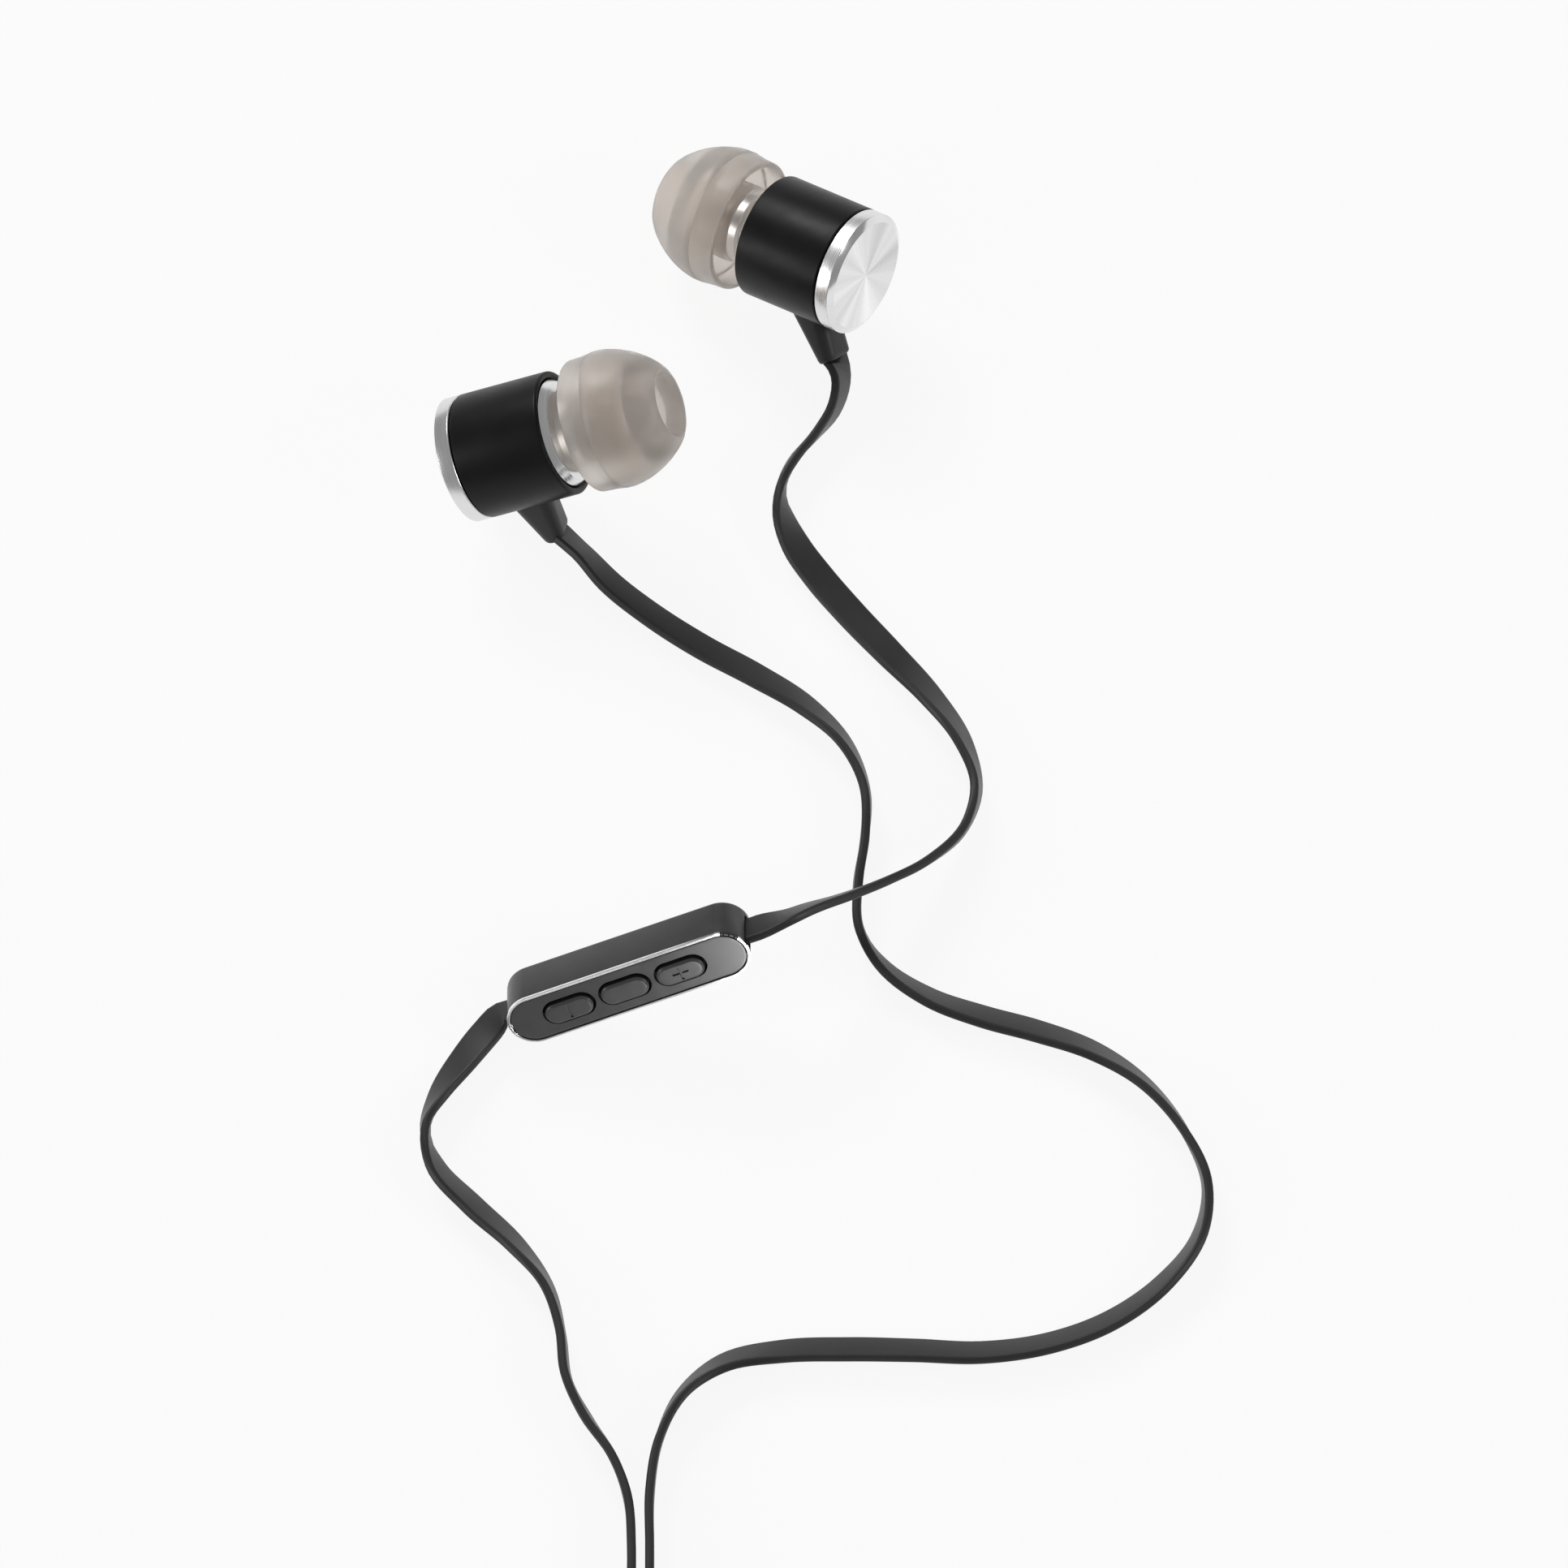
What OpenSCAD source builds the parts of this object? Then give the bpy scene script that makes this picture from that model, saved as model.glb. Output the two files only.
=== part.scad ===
// Wired in-ear earphones: two earpieces with pull-off ear tips, a three-button
// remote on the right arm, flat ribbon cords, a Y splitter, a wound main cord
// held by a tie, and a four-pole plug. Millimetres, +Z up, standing on z = 0.

/* [Earpiece housing] */
// Outer diameter of the black housing sleeve
sleeve_d = 11.2; // [11:0.1:13]
// Length of the housing sleeve
sleeve_len = 8.5; // [8.2:0.1:11]
// Wall of the housing sleeve
sleeve_wall = 0.7; // [0.6:0.05:0.8]
// Rounding of the sleeve's front edge
sleeve_round = 0.3; // [0.1:0.05:0.4]
// Length of the turned band on the rear cap
cap_band = 1.45; // [1:0.05:2.5]
// Radial width of the polished bevel on the rear cap
cap_bevel_w = 0.65; // [0.3:0.05:1.2]
// Height of the polished bevel on the rear cap
cap_bevel_h = 0.35; // [0.2:0.05:0.6]
// Length of the cap's spigot inside the sleeve
cap_spigot = 0.6; // [0.4:0.05:0.6]

/* [Nozzle and driver] */
// Diameter of the sound tube
nozzle_d = 4.3; // [4:0.1:4.4]
// Diameter of the lip that holds the ear tip
nozzle_lip_d = 4.7; // [4.5:0.05:4.8]
// Sound bore of the nozzle
nozzle_bore_d = 3; // [2.4:0.1:3.2]
// Diameter of the step that the ear tip seats against
nozzle_base_d = 6.8; // [6.4:0.1:7]
// Length of the nozzle from the sleeve's front edge
nozzle_len = 6.3; // [6:0.1:7]
// Distance from the sleeve's front edge to the ear tip seat
nozzle_seat = 2.4; // [2.1:0.1:2.6]
// Thickness of the wax guard mesh
mesh_t = 0.2; // [0.15:0.05:0.3]
// Gap between the driver's frame and the sleeve's bore
driver_gap = 0.15; // [0.1:0.05:0.3]
// Height of the driver's frame
driver_h = 1.4; // [1.2:0.1:1.8]
// Diameter of the driver's magnet pot
magnet_d = 6; // [5:0.1:6.4]
// Height of the driver's magnet pot
magnet_h = 1.8; // [1.4:0.1:2]

/* [Ear tip] */
// Largest diameter of the silicone ear tip
tip_d = 12.4; // [12:0.1:13.5]
// Diameter at the ear tip's rear rim
tip_rim_d = 11.9; // [11.4:0.1:12]
// Length of the ear tip from rim to mouth
tip_len = 8.2; // [7.8:0.1:9]
// Distance from the rear rim to the widest place
tip_widest = 2.7; // [2:0.1:3.2]
// Diameter of the ear tip's front lip
tip_mouth_d = 6.6; // [6.4:0.1:7]
// Wall of the skirt at its rim
tip_skirt = 0.45; // [0.35:0.05:0.6]
// Bore of the ear tip's core
tip_bore_d = 5; // [4.9:0.05:5.2]
// Outer diameter of the ear tip's core
tip_core_d = 7.2; // [6.8:0.1:7.6]

/* [Strain relief] */
// Reach of the strain relief from the housing's axis
relief_reach = 10; // [9.4:0.1:11]
// Width of the strain relief at the housing
relief_root = 3.8; // [3.4:0.1:4.2]
// Width of the strain relief where the cord leaves
relief_end = 1.9; // [1.6:0.1:2.4]
// Breadth of the strain relief across the cord's width
relief_breadth = 3.5; // [3.4:0.1:3.8]
// Place of the strain relief from the sleeve's rear edge
relief_place = 2.9; // [2.8:0.05:3]

/* [Remote] */
// Length of the remote
remote_len = 22.8; // [22.6:0.2:25]
// Width of the remote
remote_w = 5; // [5:0.1:5.6]
// Thickness of the remote
remote_t = 4.8; // [4.8:0.1:5.4]
// Wall of the remote's shell
remote_wall = 0.6; // [0.5:0.05:0.65]
// Width of the bright trim ring
trim_w = 0.25; // [0.2:0.05:0.35]
// Height of the bright trim ring
trim_h = 0.3; // [0.25:0.05:0.3]
// Distance between neighbouring buttons, as a share of the remote's length
pitch_share = 0.2325; // [0.232:0.0005:0.24]
// Distance of the middle button from the remote's middle
button_shift = 0.35; // [0:0.05:0.5]
// Length of a button, as a share of the remote's length
button_share = 0.193; // [0.17:0.001:0.193]
// Width of a button
button_w = 2.1; // [1.6:0.1:2.1]
// Running gap round a button
button_gap = 0.12; // [0.1:0.01:0.14]
// Height that a button stands above the face
button_rise = 0.4; // [0.1:0.05:0.45]
// Travel of a button
button_travel = 0.3; // [0.2:0.05:0.35]

/* [Cord] */
// Width of the ribbon cord
cord_w = 3; // [2.8:0.1:3]
// Thickness of the ribbon cord
cord_t = 0.8; // [0.7:0.05:0.9]
// Mean height of the cord's wound turns above the surface
coil_lift = 0.9; // [0.85:0.05:1.2]
// Outer radius of the wound turns at mid ribbon
coil_r = 21.5; // [20:0.5:24]
// Number of wound turns
coil_turns = 9.25; // [7.25:1:9.25]
// Step between neighbouring turns
coil_pitch = 1.9; // [1.9:0.05:2]
// Step between the lower and the upper layer of turns
layer_step = 3.5; // [3.45:0.05:3.8]

/* [Splitter] */
// Length of the splitter
splitter_len = 12; // [11:0.5:14]
// Width of the splitter
splitter_w = 5.6; // [5:0.1:6.5]
// Height of the splitter
splitter_h = 3.9; // [3.9:0.1:4.4]
// Wall of the splitter's shells
splitter_wall = 0.4; // [0.35:0.05:0.45]

/* [Plug] */
// Diameter of the plug's contacts
plug_d = 3.5; // [3.4:0.1:3.5]
// Length of the plug's contacts
plug_len = 14; // [13.5:0.1:15]
// Diameter of the plug's grip
grip_d = 6.4; // [6:0.1:7]
// Length of the plug's grip
grip_len = 19; // [16:0.5:24]
// Length of the plug's strain relief
boot_len = 9; // [7:0.5:12]

/* [Hidden] */
$fn = 96;
fit = 0.05;                     // gap between pieces that are pushed together
touch = 0.02;                   // gap that keeps flat seats from overlapping
blend_fn = 32;                  // facets of a blended form's corners

// Colours of the finishes
black_metal = [0.03, 0.03, 0.035];
bright_metal = [0.8, 0.8, 0.8];
dark_rubber = [0.2, 0.2, 0.2];
dark_plastic = [0.27, 0.27, 0.27];
silicone = [0.74, 0.7, 0.66];
board_green = [0.05, 0.3, 0.15];
contact_metal = [0.85, 0.8, 0.65];

// Derived sizes of an earpiece. Its own frame has Z along the axis towards the
// ear tip, z = 0 at the sleeve's rear edge and the strain relief towards +X.
sleeve_r = sleeve_d / 2;
bore_r = sleeve_r - sleeve_wall;
driver_r = bore_r - driver_gap;
seat_z = sleeve_len + nozzle_seat;
nozzle_end_z = sleeve_len + nozzle_len;
ring_len = 1.5;                 // depth of the front ring inside the sleeve
ring_wall = 0.6;                // wall of the front ring
driver_z = sleeve_len - ring_len - driver_h;
magnet_z = driver_z - magnet_h;
tip_gap = 0.1;                  // gap between the ear tip's core and its seat
tip_z = seat_z - 0.15;          // rear rim of the ear tip
tip_end_z = tip_z + tip_len;
relief_foot = 0.5;              // thickness of the foot inside the sleeve
foot_margin = 0.35;             // overlap of that foot past the port, each side
relief_corner = 0.6;            // corner radius of the strain relief

// Shift that brings the middle of the ears and remote over the origin
origin = [0.33, -0.24, 0];

// Places of the earpieces: sleeve front centre, yaw, pitch, roll of the strain
// relief about the axis, and the bend of the strain relief towards the cap
right_ear = [[8.8, 33.5, 7.55], 148.5, -16.3, 35, 35];
left_ear = [[-9.4, 12.9, 11.15], 4.7, 26, -31, -4];

// Place of the remote: centre and turns about X, Y and Z
remote_at = [-3.6, -36.6, 6.45];
remote_turn = [58, -20, 12];

// Vector helpers
function spin_x(v, a) = [v.x, v.y * cos(a) - v.z * sin(a), v.y * sin(a) + v.z * cos(a)];
function spin_y(v, a) = [v.x * cos(a) + v.z * sin(a), v.y, -v.x * sin(a) + v.z * cos(a)];
function spin_z(v, a) = [v.x * cos(a) - v.y * sin(a), v.x * sin(a) + v.y * cos(a), v.z];
function unit(v) = v / norm(v);
function ear_turn(e, v) = spin_z(spin_y(spin_z(v, e[3]), 90 - e[2]), e[1]);
function ear_point(e, v) = e[0] + ear_turn(e, v - [0, 0, sleeve_len]);
function remote_dir(v) = spin_z(spin_y(spin_x(v, remote_turn.x), remote_turn.y), remote_turn.z);
function remote_point(v) = remote_at + remote_dir(v);

// The strain relief bends about a point at the housing's wall
function relief_dir(e) = [cos(e[4]), 0, -sin(e[4])];
function relief_tip(e) =
    [sleeve_r, 0, relief_place] + (relief_reach - sleeve_r) * relief_dir(e);
function ear_exit(e) = ear_point(e, relief_tip(e));
function ear_exit_dir(e) = ear_turn(e, relief_dir(e));
function ear_exit_width(e) = ear_turn(e, [0, 1, 0]);

module place_ear(e)
    translate(origin + e[0]) rotate([0, 90 - e[2], e[1]]) rotate([0, 0, e[3]])
        translate([0, 0, -sleeve_len]) children();

module place_remote()
    translate(origin + remote_at) rotate(remote_turn) children();

// ---- Earpiece ----

module rear_cap() color(bright_metal)
    rotate_extrude() polygon([
        [0, -cap_band - cap_bevel_h],
        [sleeve_r - cap_bevel_w, -cap_band - cap_bevel_h],
        [sleeve_r, -cap_band],
        [sleeve_r, -touch],
        [bore_r - fit, -touch],
        [bore_r - fit, cap_spigot],
        [bore_r - fit - ring_wall, cap_spigot],
        [bore_r - fit - ring_wall, 0],
        [0, 0]
    ]);

module sleeve_port(clearance)
    translate([0, 0, relief_place]) rotate([0, 90, 0])
        linear_extrude(height = sleeve_r + 1)
            rounded_bar(relief_root + 2 * clearance, relief_breadth + 2 * clearance, relief_corner);

module housing_sleeve() color(black_metal)
    difference() {
        rotate_extrude() polygon(concat(
            [[bore_r, 0], [sleeve_r, 0]],
            [for (a = [0:15:90]) [
                sleeve_r - sleeve_round * (1 - cos(a)),
                sleeve_len - sleeve_round * (1 - sin(a))]],
            [[bore_r, sleeve_len]]
        ));
        sleeve_port(fit);
    }

module front_nozzle() color(bright_metal) {
    ring_r = bore_r - fit;
    tube_r = nozzle_d / 2;
    lip_r = nozzle_lip_d / 2;
    sound_r = nozzle_bore_d / 2;
    base_r = nozzle_base_d / 2;
    lip_z = nozzle_end_z - 0.9;
    cup_r = lip_r - 0.4;
    rotate_extrude() polygon([
        [ring_r - ring_wall, sleeve_len - ring_len + touch],
        [ring_r, sleeve_len - ring_len + touch],
        [ring_r, sleeve_len],
        [ring_r - 0.15, sleeve_len + 0.15],
        [base_r + 1.05, sleeve_len + 0.6],
        [base_r + 0.65, sleeve_len + 1],
        [base_r + 0.2, sleeve_len + 1.35],
        [base_r, sleeve_len + 1.6],
        [base_r, seat_z],
        [tube_r, seat_z],
        [tube_r, lip_z - 0.2],
        [lip_r, lip_z],
        [lip_r, nozzle_end_z - 0.3],
        [lip_r - 0.3, nozzle_end_z],
        [cup_r, nozzle_end_z],
        [cup_r, nozzle_end_z - mesh_t],
        [sound_r, nozzle_end_z - mesh_t],
        [sound_r, sleeve_len + 1.6],
        [ring_r - ring_wall, sleeve_len]
    ]);
}

module nozzle_mesh() color("dimgray")
    translate([0, 0, nozzle_end_z - mesh_t + touch])
        cylinder(r = nozzle_lip_d / 2 - 0.4 - fit, h = mesh_t - touch);

module driver_frame() color("silver") {
    pot_r = magnet_d / 2;
    rotate_extrude() polygon([
        [pot_r + fit, driver_z],
        [driver_r, driver_z + 0.3],
        [driver_r, driver_z + driver_h],
        [driver_r - 0.5, driver_z + driver_h],
        [driver_r - 0.5, driver_z + 0.7],
        [pot_r + fit, driver_z + 0.4]
    ]);
}

module driver_magnet() color("dimgray")
    translate([0, 0, magnet_z + 0.4])
        cylinder(d = magnet_d, h = magnet_h);

module driver_diaphragm() color("goldenrod") {
    rim_r = driver_r - 0.5 - fit;
    rim_z = driver_z + 0.7;
    rotate_extrude() polygon([
        [0, rim_z + 0.55], [1.4, rim_z + 0.35], [1.7, rim_z + touch],
        [rim_r, rim_z + touch], [rim_r, rim_z + 0.12],
        [3, rim_z + 0.4], [1.75, rim_z + 0.2], [1.45, rim_z + 0.45], [0, rim_z + 0.67]
    ]);
}

// A bar's section with rounded corners, a along X and b along Y
module rounded_bar(a, b, r) {
    square([a - 2 * r, b], center = true);
    square([a, b - 2 * r], center = true);
    for (x = [-1, 1], y = [-1, 1])
        translate([x * (a / 2 - r), y * (b / 2 - r)]) circle(r = r, $fn = blend_fn);
}

module strain_relief(e) color(dark_rubber) {
    neck_x = bore_r - relief_foot;
    foot_a = relief_root + 2 * foot_margin;
    foot_b = relief_breadth + 2 * foot_margin;
    intersection() {
        translate([neck_x - 1, 0, relief_place]) rotate([0, 90, 0])
            linear_extrude(height = 3) rounded_bar(foot_a, foot_b, relief_corner);
        rotate_extrude() translate([bore_r - fit - relief_foot, cap_spigot + fit])
            square([relief_foot, magnet_z]);
    }
    translate([neck_x, 0, relief_place]) rotate([0, 90, 0])
        linear_extrude(height = sleeve_r - neck_x + touch)
            rounded_bar(relief_root, relief_breadth, relief_corner);
    hull() {
        translate([sleeve_r, 0, relief_place]) rotate([0, 90, 0])
            linear_extrude(height = 0.2) rounded_bar(relief_root, relief_breadth, relief_corner);
        translate([sleeve_r, 0, relief_place]) rotate([0, 90 + e[4], 0])
            translate([0, 0, relief_reach - sleeve_r - 0.3])
                linear_extrude(height = 0.3)
                    rounded_bar(relief_end, relief_breadth - 0.1, relief_corner);
    }
}

// Outline of the dome: an ellipse quarter from the widest place to the mouth
function dome_r(t) =
    tip_mouth_d / 2 + (tip_d - tip_mouth_d) / 2 * pow(1 - pow(t, 1.75), 0.8);

module ear_tip() color(silicone) {
    widest_z = tip_z + tip_widest;
    dome_h = tip_len - tip_widest;
    core_r = tip_core_d / 2;
    steps = 12;
    rotate_extrude() polygon(concat(
        [[tip_rim_d / 2 - tip_skirt, tip_z], [tip_rim_d / 2 - 0.1, tip_z],
         [tip_rim_d / 2, tip_z + 0.15], [tip_d / 2 - 0.04, widest_z - 0.8]],
        [for (k = [0:steps]) [dome_r(k / steps), widest_z + dome_h * k / steps]],
        [[tip_mouth_d / 2 - 0.35, tip_end_z + 0.08],
         [tip_bore_d / 2 + 0.2, tip_end_z - 0.5],
         [tip_bore_d / 2, tip_end_z - 1.6],
         [tip_bore_d / 2, seat_z + tip_gap],
         [core_r - 0.2, seat_z + tip_gap],
         [core_r, seat_z + 0.4],
         [core_r - 0.1, tip_end_z - 3.2],
         [core_r + 0.4, tip_end_z - 2.8],
         [tip_d / 2 - 1.6, tip_end_z - 3.4],
         [tip_d / 2 - 0.85, widest_z + 0.9],
         [tip_d / 2 - 0.6, widest_z]]
    ));
}

// ---- Remote, its own frame: X along it, Z out of the face, centred ----

shell_top = remote_t / 2 - trim_h;
floor_t = 0.5;
floor_z = -remote_t / 2 + floor_t;
face_lip = 0.2;                 // depth of the face plate inside the shell
face_bottom = shell_top - face_lip;
flange_t = 0.35;                // flange that keeps a button in its well
flange_bottom = face_bottom - fit - flange_t;
dome_tall = 0.6;
board_t = 0.6;
board_z = flange_bottom - button_travel - 2 * touch - dome_tall - board_t;
face_sunk = 0.06;
flange_lip = 0.3;                // reach of that flange past the button's outline
button_pitch = remote_len * pitch_share;
button_len = remote_len * button_share;
// The board ends just past the outer buttons' flanges, where the cords begin
board_half = button_pitch + button_shift + button_len / 2 + flange_lip + 0.25;
button_top = remote_t / 2 - face_sunk + button_rise;

function button_x(place) = place * button_pitch - button_shift;

module stadium(len, w) {
    square([len - w, w], center = true);
    for (s = [-1, 1]) translate([s * (len - w) / 2, 0]) circle(d = w);
}

module slab(len, w, z0, z1)
    translate([0, 0, z0]) linear_extrude(height = z1 - z0) stadium(len, w);

module remote_shell() color(dark_plastic)
    difference() {
        slab(remote_len, remote_w, -remote_t / 2, shell_top);
        slab(remote_len - 2 * remote_wall, remote_w - 2 * remote_wall, floor_z, shell_top + 1);
        // a slot at each end for the ribbon cord, open at the rim
        translate([-remote_len, -cord_t / 2 - fit, -cord_w / 2 - fit])
            cube([2 * remote_len, cord_t + 2 * fit, remote_t]);
    }

module remote_posts() color(dark_plastic)
    for (s = [-1, 1])
        translate([s * board_half / 2, 0, floor_z + touch])
            cylinder(d = 1.6, h = board_z - floor_z - 2 * touch);

module mic_sector(grow)
    translate([(remote_len - remote_w) / 2, 0, shell_top - 1])
        rotate([0, 0, 52]) translate([0, -0.8 - grow, 0])
            cube([remote_w, 1.6 + 2 * grow, remote_t]);

module trim_band()
    difference() {
        slab(remote_len, remote_w, shell_top + touch, remote_t / 2);
        slab(remote_len - 2 * trim_w, remote_w - 2 * trim_w, shell_top - 1, remote_t);
    }

module remote_trim_ring() color(bright_metal)
    difference() {
        trim_band();
        mic_sector(fit);
    }

module microphone_grille() color(dark_plastic)
    difference() {
        intersection() {
            trim_band();
            mic_sector(0);
            slab(remote_len - 0.1, remote_w - 0.1, shell_top - 1, remote_t / 2 - 0.08);
        }
        for (s = [-1, 0, 1])
            translate([(remote_len - remote_w) / 2, 0, remote_t / 2 - 0.3])
                rotate([0, 0, 52 + 12 * s]) translate([remote_w / 2 - trim_w / 2, 0, 0])
                    cylinder(d = 0.2, h = 1, $fn = 16);
    }

module remote_face() color(dark_plastic)
    difference() {
        union() {
            slab(remote_len - 2 * trim_w - 2 * fit, remote_w - 2 * trim_w - 2 * fit,
                shell_top + touch, remote_t / 2 - face_sunk);
            slab(remote_len - 2 * remote_wall - 2 * fit, remote_w - 2 * remote_wall - 2 * fit,
                face_bottom, remote_t / 2 - face_sunk);
        }
        for (k = [-1:1])
            translate([button_x(k), 0, 0])
                slab(button_len + 2 * button_gap, button_w + 2 * button_gap, 0, remote_t);
    }

module mark(len, turn)
    translate([0, 0, button_top - 0.05]) rotate([0, 0, turn])
        cube([len, 0.16, 0.2], center = true);

// place -1, 0 or 1 along the face; the outer two carry a minus and a plus
module remote_button(place) color(dark_plastic)
    translate([button_x(place), 0, 0])
        difference() {
            union() {
                slab(button_len, button_w, flange_bottom, button_top);
                slab(button_len + 2 * flange_lip, button_w + 2 * flange_lip,
                    flange_bottom, face_bottom - fit);
            }
            if (place != 0) mark(1.1, 90);
            if (place == 1) mark(1.1, 0);
        }

module remote_board() {
    remote_posts();
    color(board_green) {
        translate([-board_half, -1.6, board_z])
            cube([2 * board_half, 3.2, board_t]);
        translate([board_half - 0.5, cord_t / 2 + 0.15, board_z])
            cube([1.6, 1, board_t]);
    }
}

module dome_switches() color("gold")
    for (k = [-1:1])
        translate([button_x(k), 0, board_z + board_t + touch])
            rotate_extrude() polygon([
                [0, 0], [1.2, 0], [1.2, 0.25], [0.7, 0.45], [0.3, dome_tall], [0, dome_tall]
            ]);

module microphone() color("gray")
    translate([board_half + 0.05, cord_t / 2 + 0.25, board_z + board_t + touch])
        cube([1, 0.8, 1]);

// ---- Ribbon cords ----

// Half of the ribbon's section has rounded long edges: offsets across the
// thickness and along the width
function ribbon_section(w, t) = let(a = t / 2, b = w / 2, c = t * 0.3) [
    [a, b - c], [a - c, b], [c - a, b], [-a, b - c],
    [-a, c - b], [c - a, -b], [a - c, -b], [a, c - b]
];

// The wound ribbon has six sides: flat long edges and a slight crown
function wound_section(w, t) = let(a = t / 2, b = w / 2) [
    [a, 0], [a * 0.7, b], [-a * 0.7, b], [-a, 0], [-a * 0.7, -b], [a * 0.7, -b]
];

// A route point is [x, y, z, tilt]: tilt 0 lays the ribbon flat, 90 stands it
// on edge, and over 90 leans it to the right of its run
function route_dir(p, i) =
    unit([for (k = [0:2]) p[min(i + 1, len(p) - 1)][k] - p[max(i - 1, 0)][k]]);

function side_of(d) = unit([-d.y, d.x, 0]);

function ring(at, d, tilt, section) = let(
    s = side_of(d),
    u = cross(d, s),
    across = cos(tilt) * s + sin(tilt) * u,
    thick = cross(d, across)
) [for (q = section) at + q.x * thick + q.y * across];

// Tilt of a ribbon whose width lies across, from 0 to 180
function tilt_of(d, across) = let(s = side_of(d), u = cross(d, s),
    a = atan2(across * u, across * s)) a < 0 ? a + 180 : a;

module tube(rings) {
    n = len(rings[0]);
    last = (len(rings) - 1) * n;
    translate(origin) polyhedron(
        points = [for (r = rings) each r],
        faces = concat(
            [for (i = [1:n - 2]) [0, i, i + 1]],
            [for (i = [1:n - 2]) [last, last + i + 1, last + i]],
            [for (j = [0:len(rings) - 2], i = [0:n - 1]) let(k = (i + 1) % n)
                [j * n + i, (j + 1) * n + i, (j + 1) * n + k]],
            [for (j = [0:len(rings) - 2], i = [0:n - 1]) let(k = (i + 1) % n)
                [j * n + i, (j + 1) * n + k, j * n + k]]
        )
    );
}

// Rings along a route whose ends leave in set directions
function route_rings(p, d0, d1, section) = [for (i = [0:len(p) - 1]) let(
    d = i == 0 ? d0 : i == len(p) - 1 ? d1 : route_dir(p, i)
) ring([p[i].x, p[i].y, p[i].z], d, p[i][3], section)];

function with_tilt(at, tilt) = [at.x, at.y, at.z, tilt];

board_end = board_half + touch;
remote_right = remote_point([board_end, 0, 0]);
remote_left = remote_point([-board_end, 0, 0]);
remote_along = remote_dir([1, 0, 0]);
remote_tilt = tilt_of(-remote_along, remote_dir([0, 0, 1]));
exit_gap = touch;
right_exit = ear_exit(right_ear) + exit_gap * ear_exit_dir(right_ear);
left_exit = ear_exit(left_ear) + exit_gap * ear_exit_dir(left_ear);
right_exit_tilt = tilt_of(ear_exit_dir(right_ear), ear_exit_width(right_ear));
left_exit_tilt = tilt_of(ear_exit_dir(left_ear), ear_exit_width(left_ear));

right_upper_points = [
    [15, 21.8, 2.3, 114], [14.4, 19.2, 1.9, 94], [12.7, 16.8, 1.6, 78], [10.9, 14.5, 1.6, 74],
    [9.8, 12, 1.6, 86], [10, 9, 1.5, 124], [11.1, 6.3, 1.2, 150], [13, 3.5, 1, 160],
    [15.8, 0, 1, 160], [19.3, -4, 1.1, 154], [22.9, -8.2, 1.4, 138], [25.7, -12.5, 1.6, 120],
    [26.9, -17, 1.6, 98], [25.8, -21, 2.1, 82], [22.6, -24.8, 3.6, 70], [18.9, -27.7, 5.7, 66],
    [15.2, -30.2, 8, 62], [12.3, -32, 9.9, 56], [10, -33.4, 10.9, 48]
];
right_lower_points = [
    [-15.9, -40.2, 1.9, 24], [-18, -42.9, 1.7, 30], [-20.2, -46.2, 1.6, 54],
    [-21.4, -49.3, 1.6, 85], [-20.5, -52.9, 1.5, 122],
    [-17.3, -56.6, 1.4, 136], [-13.5, -60.4, 1.5, 128], [-10.7, -64.4, 1.6, 108],
    [-9.5, -68.8, 1.6, 96], [-9, -72.9, 1.6, 98], [-7.2, -76.8, 1.6, 106], [-4.9, -80.5, 1.6, 100],
    [-3.6, -84.5, 1.7, 93], [-3.3, -89, 1.8, 90], [-3.3, -93, 1.95, 90]
];
left_points = [
    [-7.8, 5.5, 1.5, 132], [-5.4, 2.8, 1.3, 142], [-1.7, -0.3, 1.2, 146], [2.8, -3.4, 1.2, 148],
    [7.4, -6.1, 1.3, 146], [11.9, -9.1, 1.4, 136], [15.3, -12.7, 1.6, 116], [17.1, -17.1, 1.6, 98],
    [17.1, -21.8, 1.6, 87], [16.5, -26.2, 1.6, 86], [16.6, -30.4, 1.6, 96], [18.7, -34, 1.6, 118],
    [22.7, -36.9, 1.4, 134], [27.4, -38.7, 1.3, 142], [32.2, -40.1, 1.3, 142],
    [37.1, -42, 1.4, 134], [41.5, -45.1, 1.6, 118], [45, -49.6, 1.6, 103], [47, -54.7, 1.6, 88],
    [46.3, -59.6, 1.6, 68], [43.2, -64, 1.5, 52], [38.6, -67.5, 1.4, 44], [33, -69.7, 1.4, 41],
    [27.2, -70.5, 1.3, 38], [21.4, -70.3, 1.3, 36], [15.6, -70.2, 1.3, 34], [9.8, -70.4, 1.3, 37],
    [4.8, -71.5, 1.4, 48], [1.2, -74.4, 1.6, 68], [-0.9, -78.8, 1.6, 84], [-1.7, -84, 1.7, 90],
    [-1.7, -89, 1.8, 90], [-1.7, -93, 1.95, 90]
];

// ---- Splitter, lying along -Y ----

splitter_at = [-2.5, -95, splitter_h / 2];
arm_y = splitter_at.y;
joint_len = 4;                  // length of the moulded joint inside
joint_y0 = arm_y - (splitter_len - joint_len) / 2;
joint_y1 = joint_y0 - joint_len;
arm_side = 0.8;                 // half the distance between the two arms

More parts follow.
